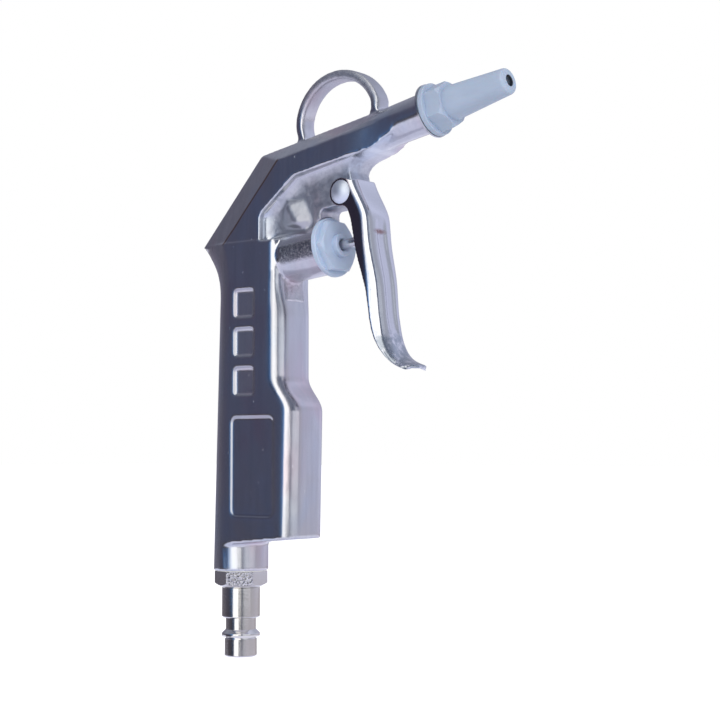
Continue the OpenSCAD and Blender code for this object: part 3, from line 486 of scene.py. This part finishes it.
def open_corner(u, q, r0, r1):
    """Where a point beside a corner of radius r0 comes to lie when the corner opens out to radius r1.

    Both are measured from where the wider corner starts: u across the face and q behind it.
    """
    length = 2 * (r1 - r0) + r0 * math.pi / 2
    if u < r1 - r0 and q < r0:
        share, n = u / length, q
    elif q > r0:
        share, n = 1 - (r1 - q) / length, r1 - u
    else:
        du, dq = u - r1 + r0, r0 - q
        share, n = (r1 - r0 + r0 * math.atan2(du, dq)) / length, r0 - math.hypot(du, dq)
    turn = share * math.pi / 2
    return (r1 - n) * math.sin(turn), r1 - (r1 - n) * math.cos(turn)


def paint(node, finish):
    """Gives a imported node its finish."""
    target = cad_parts[node]
    target.data.materials.clear()
    target.data.materials.append(finish)


# Finishes


def casting_regions(metal, place, swell):
    """Where the casting looks different, each as a value from 0 to 1. The crease wavers with swell."""
    x, y, z = metal.parts(place)
    aside = y.size()
    up = metal.parts(metal.turned(place, BARREL_END, BARREL_RISE))[2]

    # The hook above the barrel, the sunk web below it and the fairing on the web
    hook = z.rise(165 * MM, 174 * MM) * up.rise(6.2 * MM, 7.5 * MM)
    inside = up.rise(-6.2 * MM, -7.6 * MM) * x.rise(13.5 * MM, 16.5 * MM)
    inside = inside * z.rise(130.5 * MM, 133 * MM) * aside.rise(6.6 * MM, 5.2 * MM)
    fairing = x.between(21.5 * MM, 33.5 * MM, MM) * z.between(132.5 * MM, 142.5 * MM, MM)

    # The mark that the casting's gate left on the front below the valve, and the grain on the valve's boss
    gate = x.rise(19.5 * MM, 20.5 * MM) * z.between(112 * MM, 117.5 * MM, MM) * aside.rise(5 * MM, 3 * MM)
    valve_l, _, valve_up = metal.parts(metal.turned(place, VALVE_START, VALVE_RISE))
    speckled = valve_l.between(-13.5 * MM, MM, MM) * aside.rise(5.2 * MM, 6.2 * MM)
    speckled = speckled * valve_up.between(-2.4 * MM, 1.6 * MM, 1.4 * MM)
    raw = hook.most(inside).most(gate).most(speckled).most(fairing)

    # The walls of the grip's recesses, darkened with painted shade, and the floors of the small ones
    recessed = x.between(2.5 * MM, 22.2 * MM, 0.2 * MM) * z.between(40 * MM, 120 * MM, MM)
    painted_wall_shade = aside.between(8.38 * MM, 8.7 * MM, 0.08 * MM) * recessed
    pads = aside.between(7.8 * MM, 8.4 * MM, 0.08 * MM) * x.rise(13.7 * MM, 13.4 * MM)
    pads = pads * z.rise(79 * MM, 80 * MM) * recessed

    # A painted dark line with a painted brownish highlight along the shoulder's crease
    over, _, off_crease = metal.parts(metal.turned(place, CREASE_START, CREASE_RISE))
    crease = (off_crease + swell * 0.5 * MM - 0.3 * MM).size().rise(0.5 * MM, 0.15 * MM)
    crease = crease * over.between(0, CREASE_L, MM) * aside.rise(7.5 * MM, 8.2 * MM)
    return SimpleNamespace(
        hook=hook, inside=inside, gate=gate, speckled=speckled, fairing=fairing, painted_wall_shade=painted_wall_shade, pads=pads,
        crease=crease, raw=raw)


def casting_finish(look):
    """Polished die-cast aluminium with brushing lines, and the raw cast skin where no wheel reaches."""
    metal = new_finish("casting")
    place = metal.place()
    swell = metal.noise(place, 8 * MM, 1)
    lumps = metal.noise(place, 2.2 * MM, 3, 0.6)
    grain = metal.noise(place, 0.4 * MM, 3, 0.6)
    coarse = metal.noise(place, 0.55 * MM, 2, 0.6)
    lines = metal.noise(metal.stretched(place, (1, 1, 0.03)), 0.22 * MM, 2, 0.6)
    nicks = metal.cells(metal.stretched(place, (1, 1, 0.4)), 2.6 * MM).rise(0.07, 0.03)
    haze = metal.noise(metal.stretched(place, (1, 1, 0.3)), 6 * MM, 3)
    tint = metal.noise(metal.stretched(place, (1, 1, 0.5)), 16 * MM, 2)
    streaks = metal.noise(metal.stretched(place, (1, 1, 0.05)), 1.6 * MM, 3, 0.6)
    at = casting_regions(metal, place, swell)
    polished = 1 - at.raw
    normal = metal.bump(swell * 0.12 + lumps * at.raw * 0.22 + lumps * at.gate * 0.6, MM)
    fine = grain * (0.1 + at.raw * 0.7) + lines * polished * 0.26
    fine = fine + coarse * at.speckled * 3 - nicks * polished
    normal = metal.bump(fine, 0.03 * MM, normal)
    roughness = look.roughness + haze * 0.08 + lines * 0.06 + streaks * 0.06
    roughness = roughness + at.pads * 0.1 + at.raw * (0.2 + lumps * 0.12)
    shaded = at.inside * (1 - at.fairing) * lumps.rise(0.7, 0.3)
    tone = metal.coated(
        tuple(look.colour),
        (haze.rise(0.35, 0.7), tuple(0.92 * c for c in look.colour)),
        (tint.rise(0.45, 0.68), (0.66, 0.57, 0.6)),
        (tint.rise(0.45, 0.3) * 0.6, (0.57, 0.65, 0.75)),
        (streaks.rise(0.42, 0.66) * polished * 0.3, (0.52, 0.53, 0.57)),
        # Painted shade on the walls of the grip's recesses
        (at.painted_wall_shade * 0.6, (0.33, 0.34, 0.38)),
        (at.speckled * coarse.rise(0.8, 0.4) * 0.9, (0.14, 0.14, 0.17)),
        (at.hook * 0.3 + shaded * 0.7, (0.4, 0.41, 0.45)),
        (at.fairing * 0.7, (0.45, 0.47, 0.51)),
        (nicks * 0.5, (0.9, 0.9, 0.92)),
        # Painted shade and highlight along the shoulder's crease
        (at.crease * 0.75, (0.34, 0.2, 0.12)))
    return metal.bare_metal(tone, roughness, normal)


def plated_finish(name, colour, roughness, axis_grain, bitten=False):
    """Bright plating over fine tool marks round the piece; bitten marks the plug's flat in view."""
    metal = new_finish(name)
    place = metal.place()
    marks = metal.noise(metal.stretched(place, axis_grain), 0.2 * MM, 2)
    cloud = metal.noise(place, 5 * MM, 2)
    peel = metal.noise(place, 0.5 * MM, 2)
    specks = metal.cells(place, 1.1 * MM).rise(0.12, 0.05)
    normal = metal.bump(marks * 0.5 + cloud + peel * 0.6, 0.01 * MM)
    tone = metal.coated(tuple(colour), (specks * 0.35, tuple(0.55 * c for c in colour)))
    rough = roughness + cloud * 0.06 + marks * 0.03 + specks * 0.1
    if bitten:
        out, _, up = metal.parts(metal.rotated(place, "Z", -FLAT_TURN))
        flat = out.rise(PLUG_HALF - 0.15 * MM, PLUG_HALF - 0.05 * MM)
        flat = flat * up.between(22.3 * MM, 26.7 * MM, 0.3 * MM)
        normal = metal.bump(flat * metal.cells(place, 0.75 * MM), 0.7 * MM, normal)
        rough = rough + flat * 0.04
    return metal.bare_metal(tone, rough, normal)


def lever_finish(look):
    """Bright plated sheet with drawing lines, sides painted darker as shade, a reddish-brown spot at the knee
    painted as shade and reflection, and a worn tip.
    """
    metal = new_finish("lever_steel")
    place = metal.place()
    _, y, z = metal.parts(place)
    lines = metal.noise(metal.stretched(place, (0.5, 1, 0.02)), 0.3 * MM, 2, 0.6)
    cloud = metal.noise(place, 5 * MM, 2)
    pits = metal.cells(place, 1.3 * MM).rise(0.1, 0.04)
    # The sides are painted darker: painted shade
    sides = y.size().rise(6.15 * MM, 6.45 * MM)
    # The reddish-brown spot at the knee is painted shade and reflection at the step
    inputs = {0: metal.stretched(place, (1, 0.3, 1)), 1: PAINTED_KNEE_SPOT}
    off_spot = metal.add("ShaderNodeVectorMath", {"operation": "DISTANCE"}, inputs)["Value"]
    spot = off_spot.rise(1.2 * MM, 0.3 * MM) * metal.noise(place, 1.2 * MM, 2).rise(0.2, 0.55) * 0.8
    worn = z.rise(101.5 * MM, 97.5 * MM) * metal.noise(place, 2.4 * MM, 3, 0.6).rise(0.36, 0.56)
    tone = metal.coated(
        tuple(look.colour),
        (sides, (0.26, 0.2, 0.21)),
        (pits * 0.4, (0.4, 0.4, 0.42)),
        (spot, (0.3, 0.14, 0.13)),
        (worn * 0.7, (0.3, 0.35, 0.4)))
    rough = look.roughness + cloud * 0.05 + lines * 0.06 + spot * 0.3 + worn * 0.12
    normal = metal.bump(cloud * 0.4 + lines * 0.35 - pits * 0.4 - worn * 0.5, 0.03 * MM)
    return metal.bare_metal(tone, rough, normal)


def plastic_finish(look):
    """Grey-blue moulded plastic with a faint mould texture and flow marks; the valve plug is painted lighter
    and the nozzle darker as painted light and shade, and the jet's bore is painted dark as shade.
    """
    plastic = new_finish("grey_plastic")
    place = plastic.place()
    x, y, _ = plastic.parts(place)
    flow = plastic.noise(plastic.stretched(place, (0.3, 1, 1)), 5 * MM, 3, 0.55, 0.6)
    skin = plastic.noise(place, 0.35 * MM, 2)
    _, side, up = plastic.parts(plastic.turned(place, BARREL_END, BARREL_RISE))
    # The jet's bore is painted dark: painted shade inside the hole
    painted_bore_shade = (side * side + up * up).rise((1.9 * MM) ** 2, (1.65 * MM) ** 2) * x.rise(100 * MM, 102 * MM)
    seam = y.size().rise(0.12 * MM, 0.03 * MM)
    # The valve plug, short of x 62 mm, is painted lighter and the nozzle darker: painted light and shade on
    # the one plastic
    tint = plastic.coated(
        tuple(1.18 * c for c in look.colour),
        (x.rise(62 * MM, 68 * MM), tuple(0.95 * c for c in look.colour)),
        (flow.rise(0.3, 0.75) * 0.08, (0, 0, 0)),
        (painted_bore_shade, (0.02, 0.024, 0.035)))
    rough = look.roughness + flow * 0.08 + skin * 0.04
    normal = plastic.bump(skin * 0.25 + flow * 0.5 + seam * 1.5, 0.02 * MM)
    return plastic.surface({
        "Base Color": tint, "Roughness": rough, "IOR": 1.49, "Normal": normal, "Subsurface Weight": 0.12,
        "Subsurface Scale": 2 * MM})


def rubber_finish():
    """Black rubber under a little dust."""
    rubber = new_finish("seal_rubber")
    place = rubber.place()
    dust = rubber.noise(place, 1.5 * MM, 3)
    tint = rubber.blend(dust.rise(0.45, 0.8), (0.025, 0.025, 0.027), (0.05, 0.05, 0.052))
    return rubber.surface({
        "Base Color": tint, "Roughness": 0.5 + dust * 0.2,
        "Normal": rubber.bump(rubber.noise(place, 0.2 * MM, 2), 0.01 * MM)})


def ptfe_finish():
    """White fluoropolymer with faint clouds."""
    white = new_finish("ptfe")
    place = white.place()
    cloud = white.noise(place, 2 * MM, 2)
    tint = white.blend(cloud, (0.86, 0.86, 0.84), (0.78, 0.78, 0.76))
    return white.surface({
        "Base Color": tint, "Roughness": 0.45 + cloud * 0.1,
        "Normal": white.bump(white.noise(place, 0.3 * MM, 2), 0.008 * MM)})


# Settings that a user would change


class CastingLook(bpy.types.PropertyGroup):
    voxel: FloatProperty(
        name="Skin grid", description="Grid on which the casting's skin is rebuilt; edges round with it",
        default=0.00042, min=0.0003, max=0.001, precision=5, unit="LENGTH")
    kept_faces: FloatProperty(
        name="Kept faces", description="Share of the skin's faces kept when its flat parts are thinned",
        default=0.65, min=0.1, max=1, subtype="FACTOR")
    passes: IntProperty(
        name="Polish", description="How often the skin is smoothed", default=4, min=0, max=20)
    hook_passes: IntProperty(
        name="Hook", description="How often the hook is smoothed again", default=14, min=0, max=40)
    end_passes: IntProperty(
        name="Barrel end", description="How often the barrel's end is smoothed again", default=30, min=0,
        max=60)
    colour: FloatVectorProperty(
        name="Metal", description="Colour of the bare aluminium", subtype="COLOR", size=3,
        default=(0.67, 0.67, 0.69), min=0, max=1)
    roughness: FloatProperty(
        name="Roughness", description="Roughness of the polished faces", default=0.11, min=0, max=1,
        subtype="FACTOR")


class PlugLook(bpy.types.PropertyGroup):
    colour: FloatVectorProperty(
        name="Plating", description="Colour of the inlet plug's plating", subtype="COLOR", size=3,
        default=(0.74, 0.72, 0.69), min=0, max=1)
    roughness: FloatProperty(
        name="Roughness", description="Roughness of the plating", default=0.09, min=0, max=1,
        subtype="FACTOR")
    edge: FloatProperty(
        name="Edge", description="Width of the plug's broken edges", default=0.00014, min=0, max=0.0004,
        precision=5, unit="LENGTH")


class PlasticLook(bpy.types.PropertyGroup):
    colour: FloatVectorProperty(
        name="Plastic", description="Colour of the nozzle and valve plug", subtype="COLOR", size=3,
        default=(0.37, 0.445, 0.585), min=0, max=1)
    roughness: FloatProperty(
        name="Roughness", description="Roughness of the moulded faces", default=0.32, min=0, max=1,
        subtype="FACTOR")
    edge: FloatProperty(
        name="Edge", description="Width of the moulded pieces' rounded edges", default=0.00035, min=0,
        max=0.0006, precision=5, unit="LENGTH")


class LeverLook(bpy.types.PropertyGroup):
    voxel: FloatProperty(
        name="Skin grid", description="Grid on which the lever's skin is rebuilt", default=0.00024,
        min=0.0002, max=0.0006, precision=5, unit="LENGTH")
    passes: IntProperty(
        name="Polish", description="How often the skin is smoothed", default=4, min=0, max=20)
    groove_passes: IntProperty(
        name="Groove", description="How often the groove is smoothed again", default=14, min=0, max=40)
    colour: FloatVectorProperty(
        name="Plating", description="Colour of the lever's plating", subtype="COLOR", size=3,
        default=(0.72, 0.72, 0.75), min=0, max=1)
    roughness: FloatProperty(
        name="Roughness", description="Roughness of the plating", default=0.1, min=0, max=1,
        subtype="FACTOR")


class StudioLook(bpy.types.PropertyGroup):
    softbox: FloatProperty(
        name="Softbox", description="Brightness of the tall soft light left of the camera", default=1.6,
        min=0, max=4)
    soft_light: FloatProperty(
        name="Surround", description="Brightness of the surround on plain surfaces", default=0.86, min=0,
        max=2)
    key_power: FloatProperty(
        name="Key light", description="Power of the soft light on the left", default=0.4, min=0, max=40,
        subtype="POWER", unit="POWER")
    fill_power: FloatProperty(
        name="Fill light", description="Power of the soft light in front", default=2.8, min=0, max=40,
        subtype="POWER", unit="POWER")


# Operators


class AIRDUSTER_OT_casting(bpy.types.Operator):
    """Rebuild the body's skin with the soft edges of a polished casting"""

    bl_idname = "airduster.casting"
    bl_label = "Casting"

    def execute(self, context):
        look = context.scene.airduster_casting
        finish = casting_finish(look)
        piece = make_piece("casting", merged_copy("body"), "gun", "body", finish, sharp=0)
        reskin(piece, look.voxel, self.reshape, look.passes)
        smooth_where(piece, self.on_hook, look.hook_passes)
        smooth_where(piece, self.at_barrel_end, look.end_passes)
        finish_with(piece, "DECIMATE", ratio=look.kept_faces)
        return {"FINISHED"}

    def reshape(self, co):
        return self.taper_panel(self.widen_hook(self.round_front(co)))

    def front(self, z):
        """The x of the grip's front at a height, below and above the step."""
        low = FRONT_X + (z - FRONT_Z) * math.tan(FRONT_LEAN)
        return low + (UPPER_FRONT_X - low) * ease(z, *FRONT_STEP)

    def round_front(self, co):
        """Opens out the grip's front corners, and lower down crowns the front and sets it forward."""
        foot_z, waist_z = RESHAPED_Z
        low_part = 1 - ease(co.z, FADE_Z, waist_z)
        r1 = OPEN_R[0] + (OPEN_R[1] - OPEN_R[0]) * low_part
        q = self.front(co.z) - co.x
        if not (foot_z < co.z < waist_z and -0.5 * MM <= q <= FRONT_DEPTH):
            return co
        moved = co.copy()
        u = abs(co.y) - GRIP_HALF + r1
        if u > 0 and q < r1 and co.z > CORNERS_Z:
            u, depth = open_corner(u, max(q, 0), CORNER_R, r1)
            moved.x = co.x + q - depth
            moved.y = math.copysign(GRIP_HALF - r1 + u, co.y)
        crown = FRONT_CROWN * min(1, abs(moved.y) / GRIP_HALF) ** 2 * (1 - ease(q, 0.5 * MM, 4 * MM))
        forward = FRONT_FORWARD * (1 - ease(q, 2.5 * MM, FRONT_DEPTH))
        moved.x += (forward - crown) * low_part
        return moved

    def on_barrel(self, co):
        """How far along the barrel's axis a point lies, and how far over it."""
        offset = co - Vector(BARREL_END)
        ahead, up = math.cos(BARREL_RISE), math.sin(BARREL_RISE)
        return offset.x * ahead + offset.z * up, offset.z * ahead - offset.x * up

    def taper_panel(self, co):
        """Brings the side panel's front end in to the barrel's round part."""
        along, over = self.on_barrel(co)
        aside = abs(co.y)
        if aside > PANEL_HALF and abs(over) < PANEL_HALF_HEIGHT:
            share = ease(along, *PANEL_TAPER) * (1 - ease(along, *PANEL_END))
            co.y = math.copysign(PANEL_HALF + (aside - PANEL_HALF) * (1 - share), co.y)
        return co

    def widen_hook(self, co):
        """Spreads the hook's arch a little along the barrel."""
        over = self.on_barrel(co)[1]
        co.x += HOOK_SPREAD * (co.x - HOOK_MIDDLE) * ease(over, *SPREAD_FADE)
        return co

    def on_hook(self, co):
        return self.on_barrel(co)[1] > HOOK_FOOT

    def at_barrel_end(self, co):
        along, over = self.on_barrel(co)
        height = over * math.cos(BARREL_RISE)
        return SMOOTHED_END[0] < along < SMOOTHED_END[1] and math.hypot(co.y, height) > SMOOTHED_R


class AIRDUSTER_OT_inlet_plug(bpy.types.Operator):
    """Turn the quick-connect plug with its locking ring, neck and hexagon"""

    bl_idname = "airduster.inlet_plug"
    bl_label = "Inlet plug"

    def execute(self, context):
        look = context.scene.airduster_plug
        shape = turned_shape(self.outline())
        cut_hexagon(shape, PLUG_HALF, PLUG_TURN)
        round_edges(shape, look.edge)
        finish = plated_finish("plated_steel", look.colour, look.roughness, (0.02, 0.02, 1), bitten=True)
        make_piece("coupler_plug", shape, "gun", "inlet_plug", finish)
        return {"FINISHED"}

    def outline(self):
        """Half the plug's section in mm, from the bore's mouth round the outside to the end of the thread."""
        bore, tip, groove, ring, neck, waist, corner, thread = 3.1, 5.05, 4.65, 6, 4.75, 5.6, 8.37, 6.6
        tip_top, ring_z, neck_z, body_z, hexagon_z, seat_z, end_z = 5.5, 6.3, 8.5, 12.2, 22, 26.9, 37.9
        return [
            (bore, 0.3), (bore + 0.3, 0), (tip - 0.4, 0), (tip, 0.4), (tip, tip_top), (groove, tip_top),
            (groove, ring_z), (ring, ring_z), (ring, ring_z + 1), (neck, neck_z), (neck, body_z),
            (ring - 0.4, body_z), (ring, body_z + 0.4), (ring, hexagon_z - 0.4), (waist, hexagon_z - 0.2),
            (waist, hexagon_z), (6.56, hexagon_z), (corner, hexagon_z + 1.05), (corner, seat_z - 0.23),
            (corner - 0.4, seat_z), (thread, seat_z), (thread, end_z), (bore, end_z)]


class AIRDUSTER_OT_plastic(bpy.types.Operator):
    """Turn the moulded nozzle and the valve plug, each with its hexagon"""

    bl_idname = "airduster.plastic"
    bl_label = "Nozzle and valve plug"

    def execute(self, context):
        look = context.scene.airduster_plastic
        finish = plastic_finish(look)
        barrel = on_line(BARREL_END, BARREL_RISE)
        valve = on_line(VALVE_START, VALVE_RISE)
        for name, node, turned, hexagon, place in (
                ("nozzle_tip", "nozzle", self.nozzle(), self.nozzle_hexagon(), barrel),
                ("gland", "valve_plug", self.sleeve(), self.collar(), valve)):
            for shape in (turned, hexagon):
                round_edges(shape, look.edge, 3)
            make_piece(name, joined([turned, hexagon]), "gun", node, finish, place)
        return {"FINISHED"}

    def nozzle(self):
        """The threaded sleeve, the flange and the cone with its rounded front, all round the jet's bore."""
        bore, wide_bore, thread, flange, root, tip, front = 1.6, 2.5, 4, 7.9, 5.25, 3.93, 27.9
        return turned_shape([
            (wide_bore, -8.4), (thread, -8.4), (thread, 0.6), (flange, 0.6), (flange, 2.3), (root, 2.3),
            (root, 7.5), (tip, 26.8), (3.78, 27.45), (3.4, 27.8), (2.95, front), (bore, front), (bore, 5.5),
            (wide_bore, 5.5)])

    def nozzle_hexagon(self):
        inner, corner, foot, top = 4.5, 7.27, 2, 7.5
        shape = turned_shape([(inner, foot), (corner, foot), (corner, 6.2), (6.5, top), (inner, top)])
        cut_hexagon(shape, 6.3 * MM, math.radians(30))
        return shape

    def sleeve(self):
        """The valve plug's sleeve with its two bores, its flange and the collar that guides the stem."""
        bore, wide_bore, nose, thread, flange, collar = 1.6, 2.8, 5, 5.96, 9.2, 3.65
        return turned_shape([
            (wide_bore, -20), (nose, -20), (nose, -9), (thread, -9), (thread, 0), (flange, 0), (flange, 1.7),
            (collar, 1.7), (collar, 5.6), (2.3, 5.6), (bore, 4.9), (bore, -5), (wide_bore, -5)])

    def collar(self):
        inner, corner, foot, top = 3, 8.66, 1.2, 3.9
        shape = turned_shape([(inner, foot), (corner, foot), (corner, 3.26), (7.56, top), (inner, top)])
        cut_hexagon(shape, 7.5 * MM, 0)
        return shape


class AIRDUSTER_OT_lever(bpy.types.Operator):
    """Rebuild the pressed lever with soft bends, and finish the rivet that it turns on"""

    bl_idname = "airduster.lever"
    bl_label = "Lever and pivot pin"

    def execute(self, context):
        look = context.scene.airduster_lever
        shape = merged_copy("lever")
        piece = make_piece("lever_press", shape, "lever", "lever", lever_finish(look), sharp=0)
        reskin(piece, look.voxel, self.widen_bend, look.passes)
        smooth_where(piece, self.in_groove, look.groove_passes)
        paint("pivot_pin", plated_finish("pin_steel", (0.8, 0.84, 0.9), 0.46, (1, 1, 1)))
        return {"FINISHED"}

    def in_groove(self, co):
        return abs(co.y) < GROOVE_HALF and co.z < GROOVE_TOP

    def station(self, x, z):
        """The place along the lever's face, the depth behind it, and its point and way outward there."""
        point = Vector((x, z))
        for start, turn, first, last in (
                (FACE_START, UPPER_TURN, -math.inf, UPPER_L), (LONG_START, LONG_TURN, LONG_L0, CURL_L0)):
            out = outward(turn)
            offset = point - start
            s = max(first, 0) + offset.dot(down(turn))
            if first <= s < last:
                return s, -offset.dot(out), point - offset.dot(out) * out, out
        arm = point - KNEE_CENTRE
        a = math.atan2(arm.y, arm.x)
        if a >= LONG_TURN:
            s = UPPER_L + KNEE_R * (UPPER_TURN - a)
            return s, KNEE_R - arm.length, KNEE_CENTRE + KNEE_R * outward(a), outward(a)
        arm = point - CURL_CENTRE
        a = math.atan2(-arm.y, -arm.x)
        s = CURL_L0 + CURL_R * (a - LONG_TURN)
        return s, arm.length - CURL_R, CURL_CENTRE - CURL_R * outward(a), outward(a)

    def bulge(self, s):
        """How far the face stands out at a place along it."""
        return sum(height * ease(s, *span) for height, span in BULGES) * (1 - ease(s, *BULGE_END))

    def widen_bend(self, co):
        """Opens out the bends beside the face, crowns and bulges it and thins the sides at the tip."""
        s, q, face, out = self.station(co.x, co.z)
        if q > SHEET:
            q = SHEET + (q - SHEET) * (1 - TIP_THINNING * ease(s, *TIP_FADE))
        r1 = OPEN_BEND_R[0] + (OPEN_BEND_R[1] - OPEN_BEND_R[0]) * ease(s, *BEND_FADE)
        y = abs(co.y)
        u = y - LEVER_HALF + r1
        if u > 0 and q < r1:
            u, q = open_corner(u, max(q, 0), BEND_R, r1)
            y = LEVER_HALF - r1 + u
        crown = LEVER_CROWN * min(1, y / CROWN_HALF) ** 2
        q += crown * ease(s, *CROWN_FADE) * (1 - ease(q, 0.5 * MM, 3 * MM))
        q -= self.bulge(s) * (1 - max(0, min(1, (q - SHEET) / BULGE_DEPTH)))
        place = face - q * out
        return Vector((place.x, math.copysign(y, co.y), place.y))


class AIRDUSTER_OT_valve_parts(bpy.types.Operator):
    """Finish the stem, washer, seals, spring and the other small pieces"""

    bl_idname = "airduster.valve_parts"
    bl_label = "Stem, seals and spring"

    def execute(self, context):
        rubber = rubber_finish()
        brass = plated_finish("brass_parts", (0.78, 0.62, 0.32), 0.22, (0.05, 1, 1))
        for node in ("nozzle_seal", "flange_seal", "sleeve_seal", "stem_seal", "valve_face"):
            paint(node, rubber)
        for node in ("seal_keeper", "valve_head"):
            paint(node, brass)
        paint("inlet_seal", ptfe_finish())
        paint("valve_stem", plated_finish("stem_steel", (0.62, 0.62, 0.63), 0.16, (0.05, 1, 1)))
        paint("valve_spring", plated_finish("spring_steel", (0.52, 0.52, 0.53), 0.25, (1, 1, 1)))
        paint("nozzle_washer", plated_finish("washer_steel", (0.6, 0.6, 0.6), 0.2, (0.05, 1, 1)))
        return {"FINISHED"}


class AIRDUSTER_OT_studio(bpy.types.Operator):
    """Set the floor, the surround, the two soft lights and the camera"""

    bl_idname = "airduster.studio"
    bl_label = "Studio"

    def execute(self, context):
        look = context.scene.airduster_studio
        self.lay_floor(context.scene)
        self.set_surround(context.scene, look)
        self.hang_light(context.scene, "key", look.key_power, KEY_PLACE)
        self.hang_light(context.scene, "fill", look.fill_power, FILL_PLACE)
        self.place_camera(context.scene)
        context.scene.view_settings.view_transform = "Standard"
        return {"FINISHED"}

    def lay_floor(self, scene):
        """Plain pale paper, which the camera sees as white but for the object's shadow."""
        shape = bmesh.new()
        bmesh.ops.create_grid(shape, x_segments=1, y_segments=1, size=FLOOR_HALF)
        mesh = bpy.data.meshes.new("floor")
        shape.to_mesh(mesh)
        shape.free()
        floor = bpy.data.objects.new("floor", mesh)
        scene.collection.objects.link(floor)
        paper = new_finish("floor_paper")
        path = paper.add("ShaderNodeLightPath")
        glow = path["Is Camera Ray"] * 0.5
        mesh.materials.append(paper.surface({
            "Base Color": (0.82, 0.82, 0.83, 1), "Roughness": 0.9, "Specular IOR Level": 0.0,
            "Emission Color": (0.97, 0.96, 1, 1), "Emission Strength": glow}))
        floor.visible_glossy = False

    def room(self, sky, softbox):
        """The room that metal sees: its rings by height, and the light floor, higher on the left."""
        toward = sky.add("ShaderNodeTexCoord")["Generated"]
        x, y, z = sky.parts(sky.rotated(toward, "Z", -CAMERA_TURN))
        turn = x.maths("ARCTAN2", x, 0 - y) / math.tau + 0.5
        rings = {}
        for name, stops in ROOM.items():
            places = [(0.5 + angle / 360, colour or (softbox,) * 3) for angle, colour in stops]
            rings[name] = sky.add("ShaderNodeValToRGB", {"stops": places}, {"Fac": turn})["Color"]
        low = sky.blend(z.rise(-0.2, -0.75), FLOOR_NEAR, FLOOR_BELOW)
        left = turn.between(0.5 - 95 / 360, 0.5 - 62 / 360, 14 / 360)
        return sky.coated(
            rings["level"],
            (z.rise(0.11, 0.15), rings["middle"]),
            (z.rise(0.38, 0.55), rings["high"]),
            (z.rise(-0.069, -0.078), rings["near"]),
            ((z + left * 0.17).rise(-0.125, -0.165), low))

    def set_surround(self, scene, look):
        """White for the camera, even for plain surfaces, and a room with a softbox for metal."""
        world = bpy.data.worlds.new("surround")
        scene.world = world
        sky = Finish(world)
        path = sky.add("ShaderNodeLightPath")
        plain = sky.blend(path["Is Camera Ray"], (look.soft_light,) * 3, (1, 1, 1))
        colour = sky.blend(path["Is Glossy Ray"], plain, self.room(sky, look.softbox))
        background = sky.add("ShaderNodeBackground", None, {"Color": colour, "Strength": 1})["Background"]
        sky.add("ShaderNodeOutputWorld", None, {"Surface": background})

    def hang_light(self, scene, name, power, place):
        """A soft light at a place, aimed at the object's middle and not seen in the metal."""
        lamp = bpy.data.lights.new(name, "AREA")
        lamp.shape = "RECTANGLE"
        lamp.size = LAMP_WIDTH
        lamp.size_y = LAMP_HEIGHT
        lamp.energy = power
        light = bpy.data.objects.new(name, lamp)
        scene.collection.objects.link(light)
        light.location = place
        light.rotation_euler = (Vector(LAMP_AIM) - light.location).to_track_quat("-Z", "Y").to_euler()
        light.visible_glossy = False

    def place_camera(self, scene):
        lens = bpy.data.cameras.new("camera")
        lens.sensor_width = SENSOR_MM
        lens.lens = SENSOR_MM * FOCAL_PX / IMAGE_PX
        lens.clip_start = 0.01
        camera = bpy.data.objects.new("camera", lens)
        scene.collection.objects.link(camera)
        level = math.cos(CAMERA_RISE)
        ahead = Vector((
            -math.sin(CAMERA_TURN) * level, math.cos(CAMERA_TURN) * level, math.sin(CAMERA_RISE)))
        camera.location = CAMERA_PLACE
        camera.rotation_euler = ahead.to_track_quat("-Z", "Y").to_euler()
        scene.camera = camera


class AIRDUSTER_PT_panel(bpy.types.Panel):
    """Lists the pieces and their settings"""

    bl_idname = "AIRDUSTER_PT_panel"
    bl_label = "Air Duster"
    bl_space_type = "VIEW_3D"
    bl_region_type = "UI"
    bl_category = "Air Duster"

    def draw(self, context):
        for operator, group in STEPS:
            box = self.layout.box()
            box.operator(operator)
            if group:
                settings = getattr(context.scene, group)
                for name in settings.__annotations__:
                    box.prop(settings, name)


STEPS = [
    ("airduster.casting", "airduster_casting"),
    ("airduster.inlet_plug", "airduster_plug"),
    ("airduster.plastic", "airduster_plastic"),
    ("airduster.lever", "airduster_lever"),
    ("airduster.valve_parts", None),
    ("airduster.studio", "airduster_studio"),
]
GROUPS = {
    "airduster_casting": CastingLook,
    "airduster_plug": PlugLook,
    "airduster_plastic": PlasticLook,
    "airduster_lever": LeverLook,
    "airduster_studio": StudioLook,
}
CLASSES = [
    *GROUPS.values(),
    AIRDUSTER_OT_casting,
    AIRDUSTER_OT_inlet_plug,
    AIRDUSTER_OT_plastic,
    AIRDUSTER_OT_lever,
    AIRDUSTER_OT_valve_parts,
    AIRDUSTER_OT_studio,
    AIRDUSTER_PT_panel,
]


def register():
    for made in CLASSES:
        bpy.utils.register_class(made)
    for name, group in GROUPS.items():
        setattr(bpy.types.Scene, name, PointerProperty(type=group))


def unregister():
    for name in GROUPS:
        delattr(bpy.types.Scene, name)
    for made in reversed(CLASSES):
        bpy.utils.unregister_class(made)


def main():
    register()
    bpy.ops.airduster.casting()
    bpy.ops.airduster.inlet_plug()
    bpy.ops.airduster.plastic()
    bpy.ops.airduster.lever()
    bpy.ops.airduster.valve_parts()
    bpy.ops.airduster.studio()


if __name__ == "__main__":
    main()
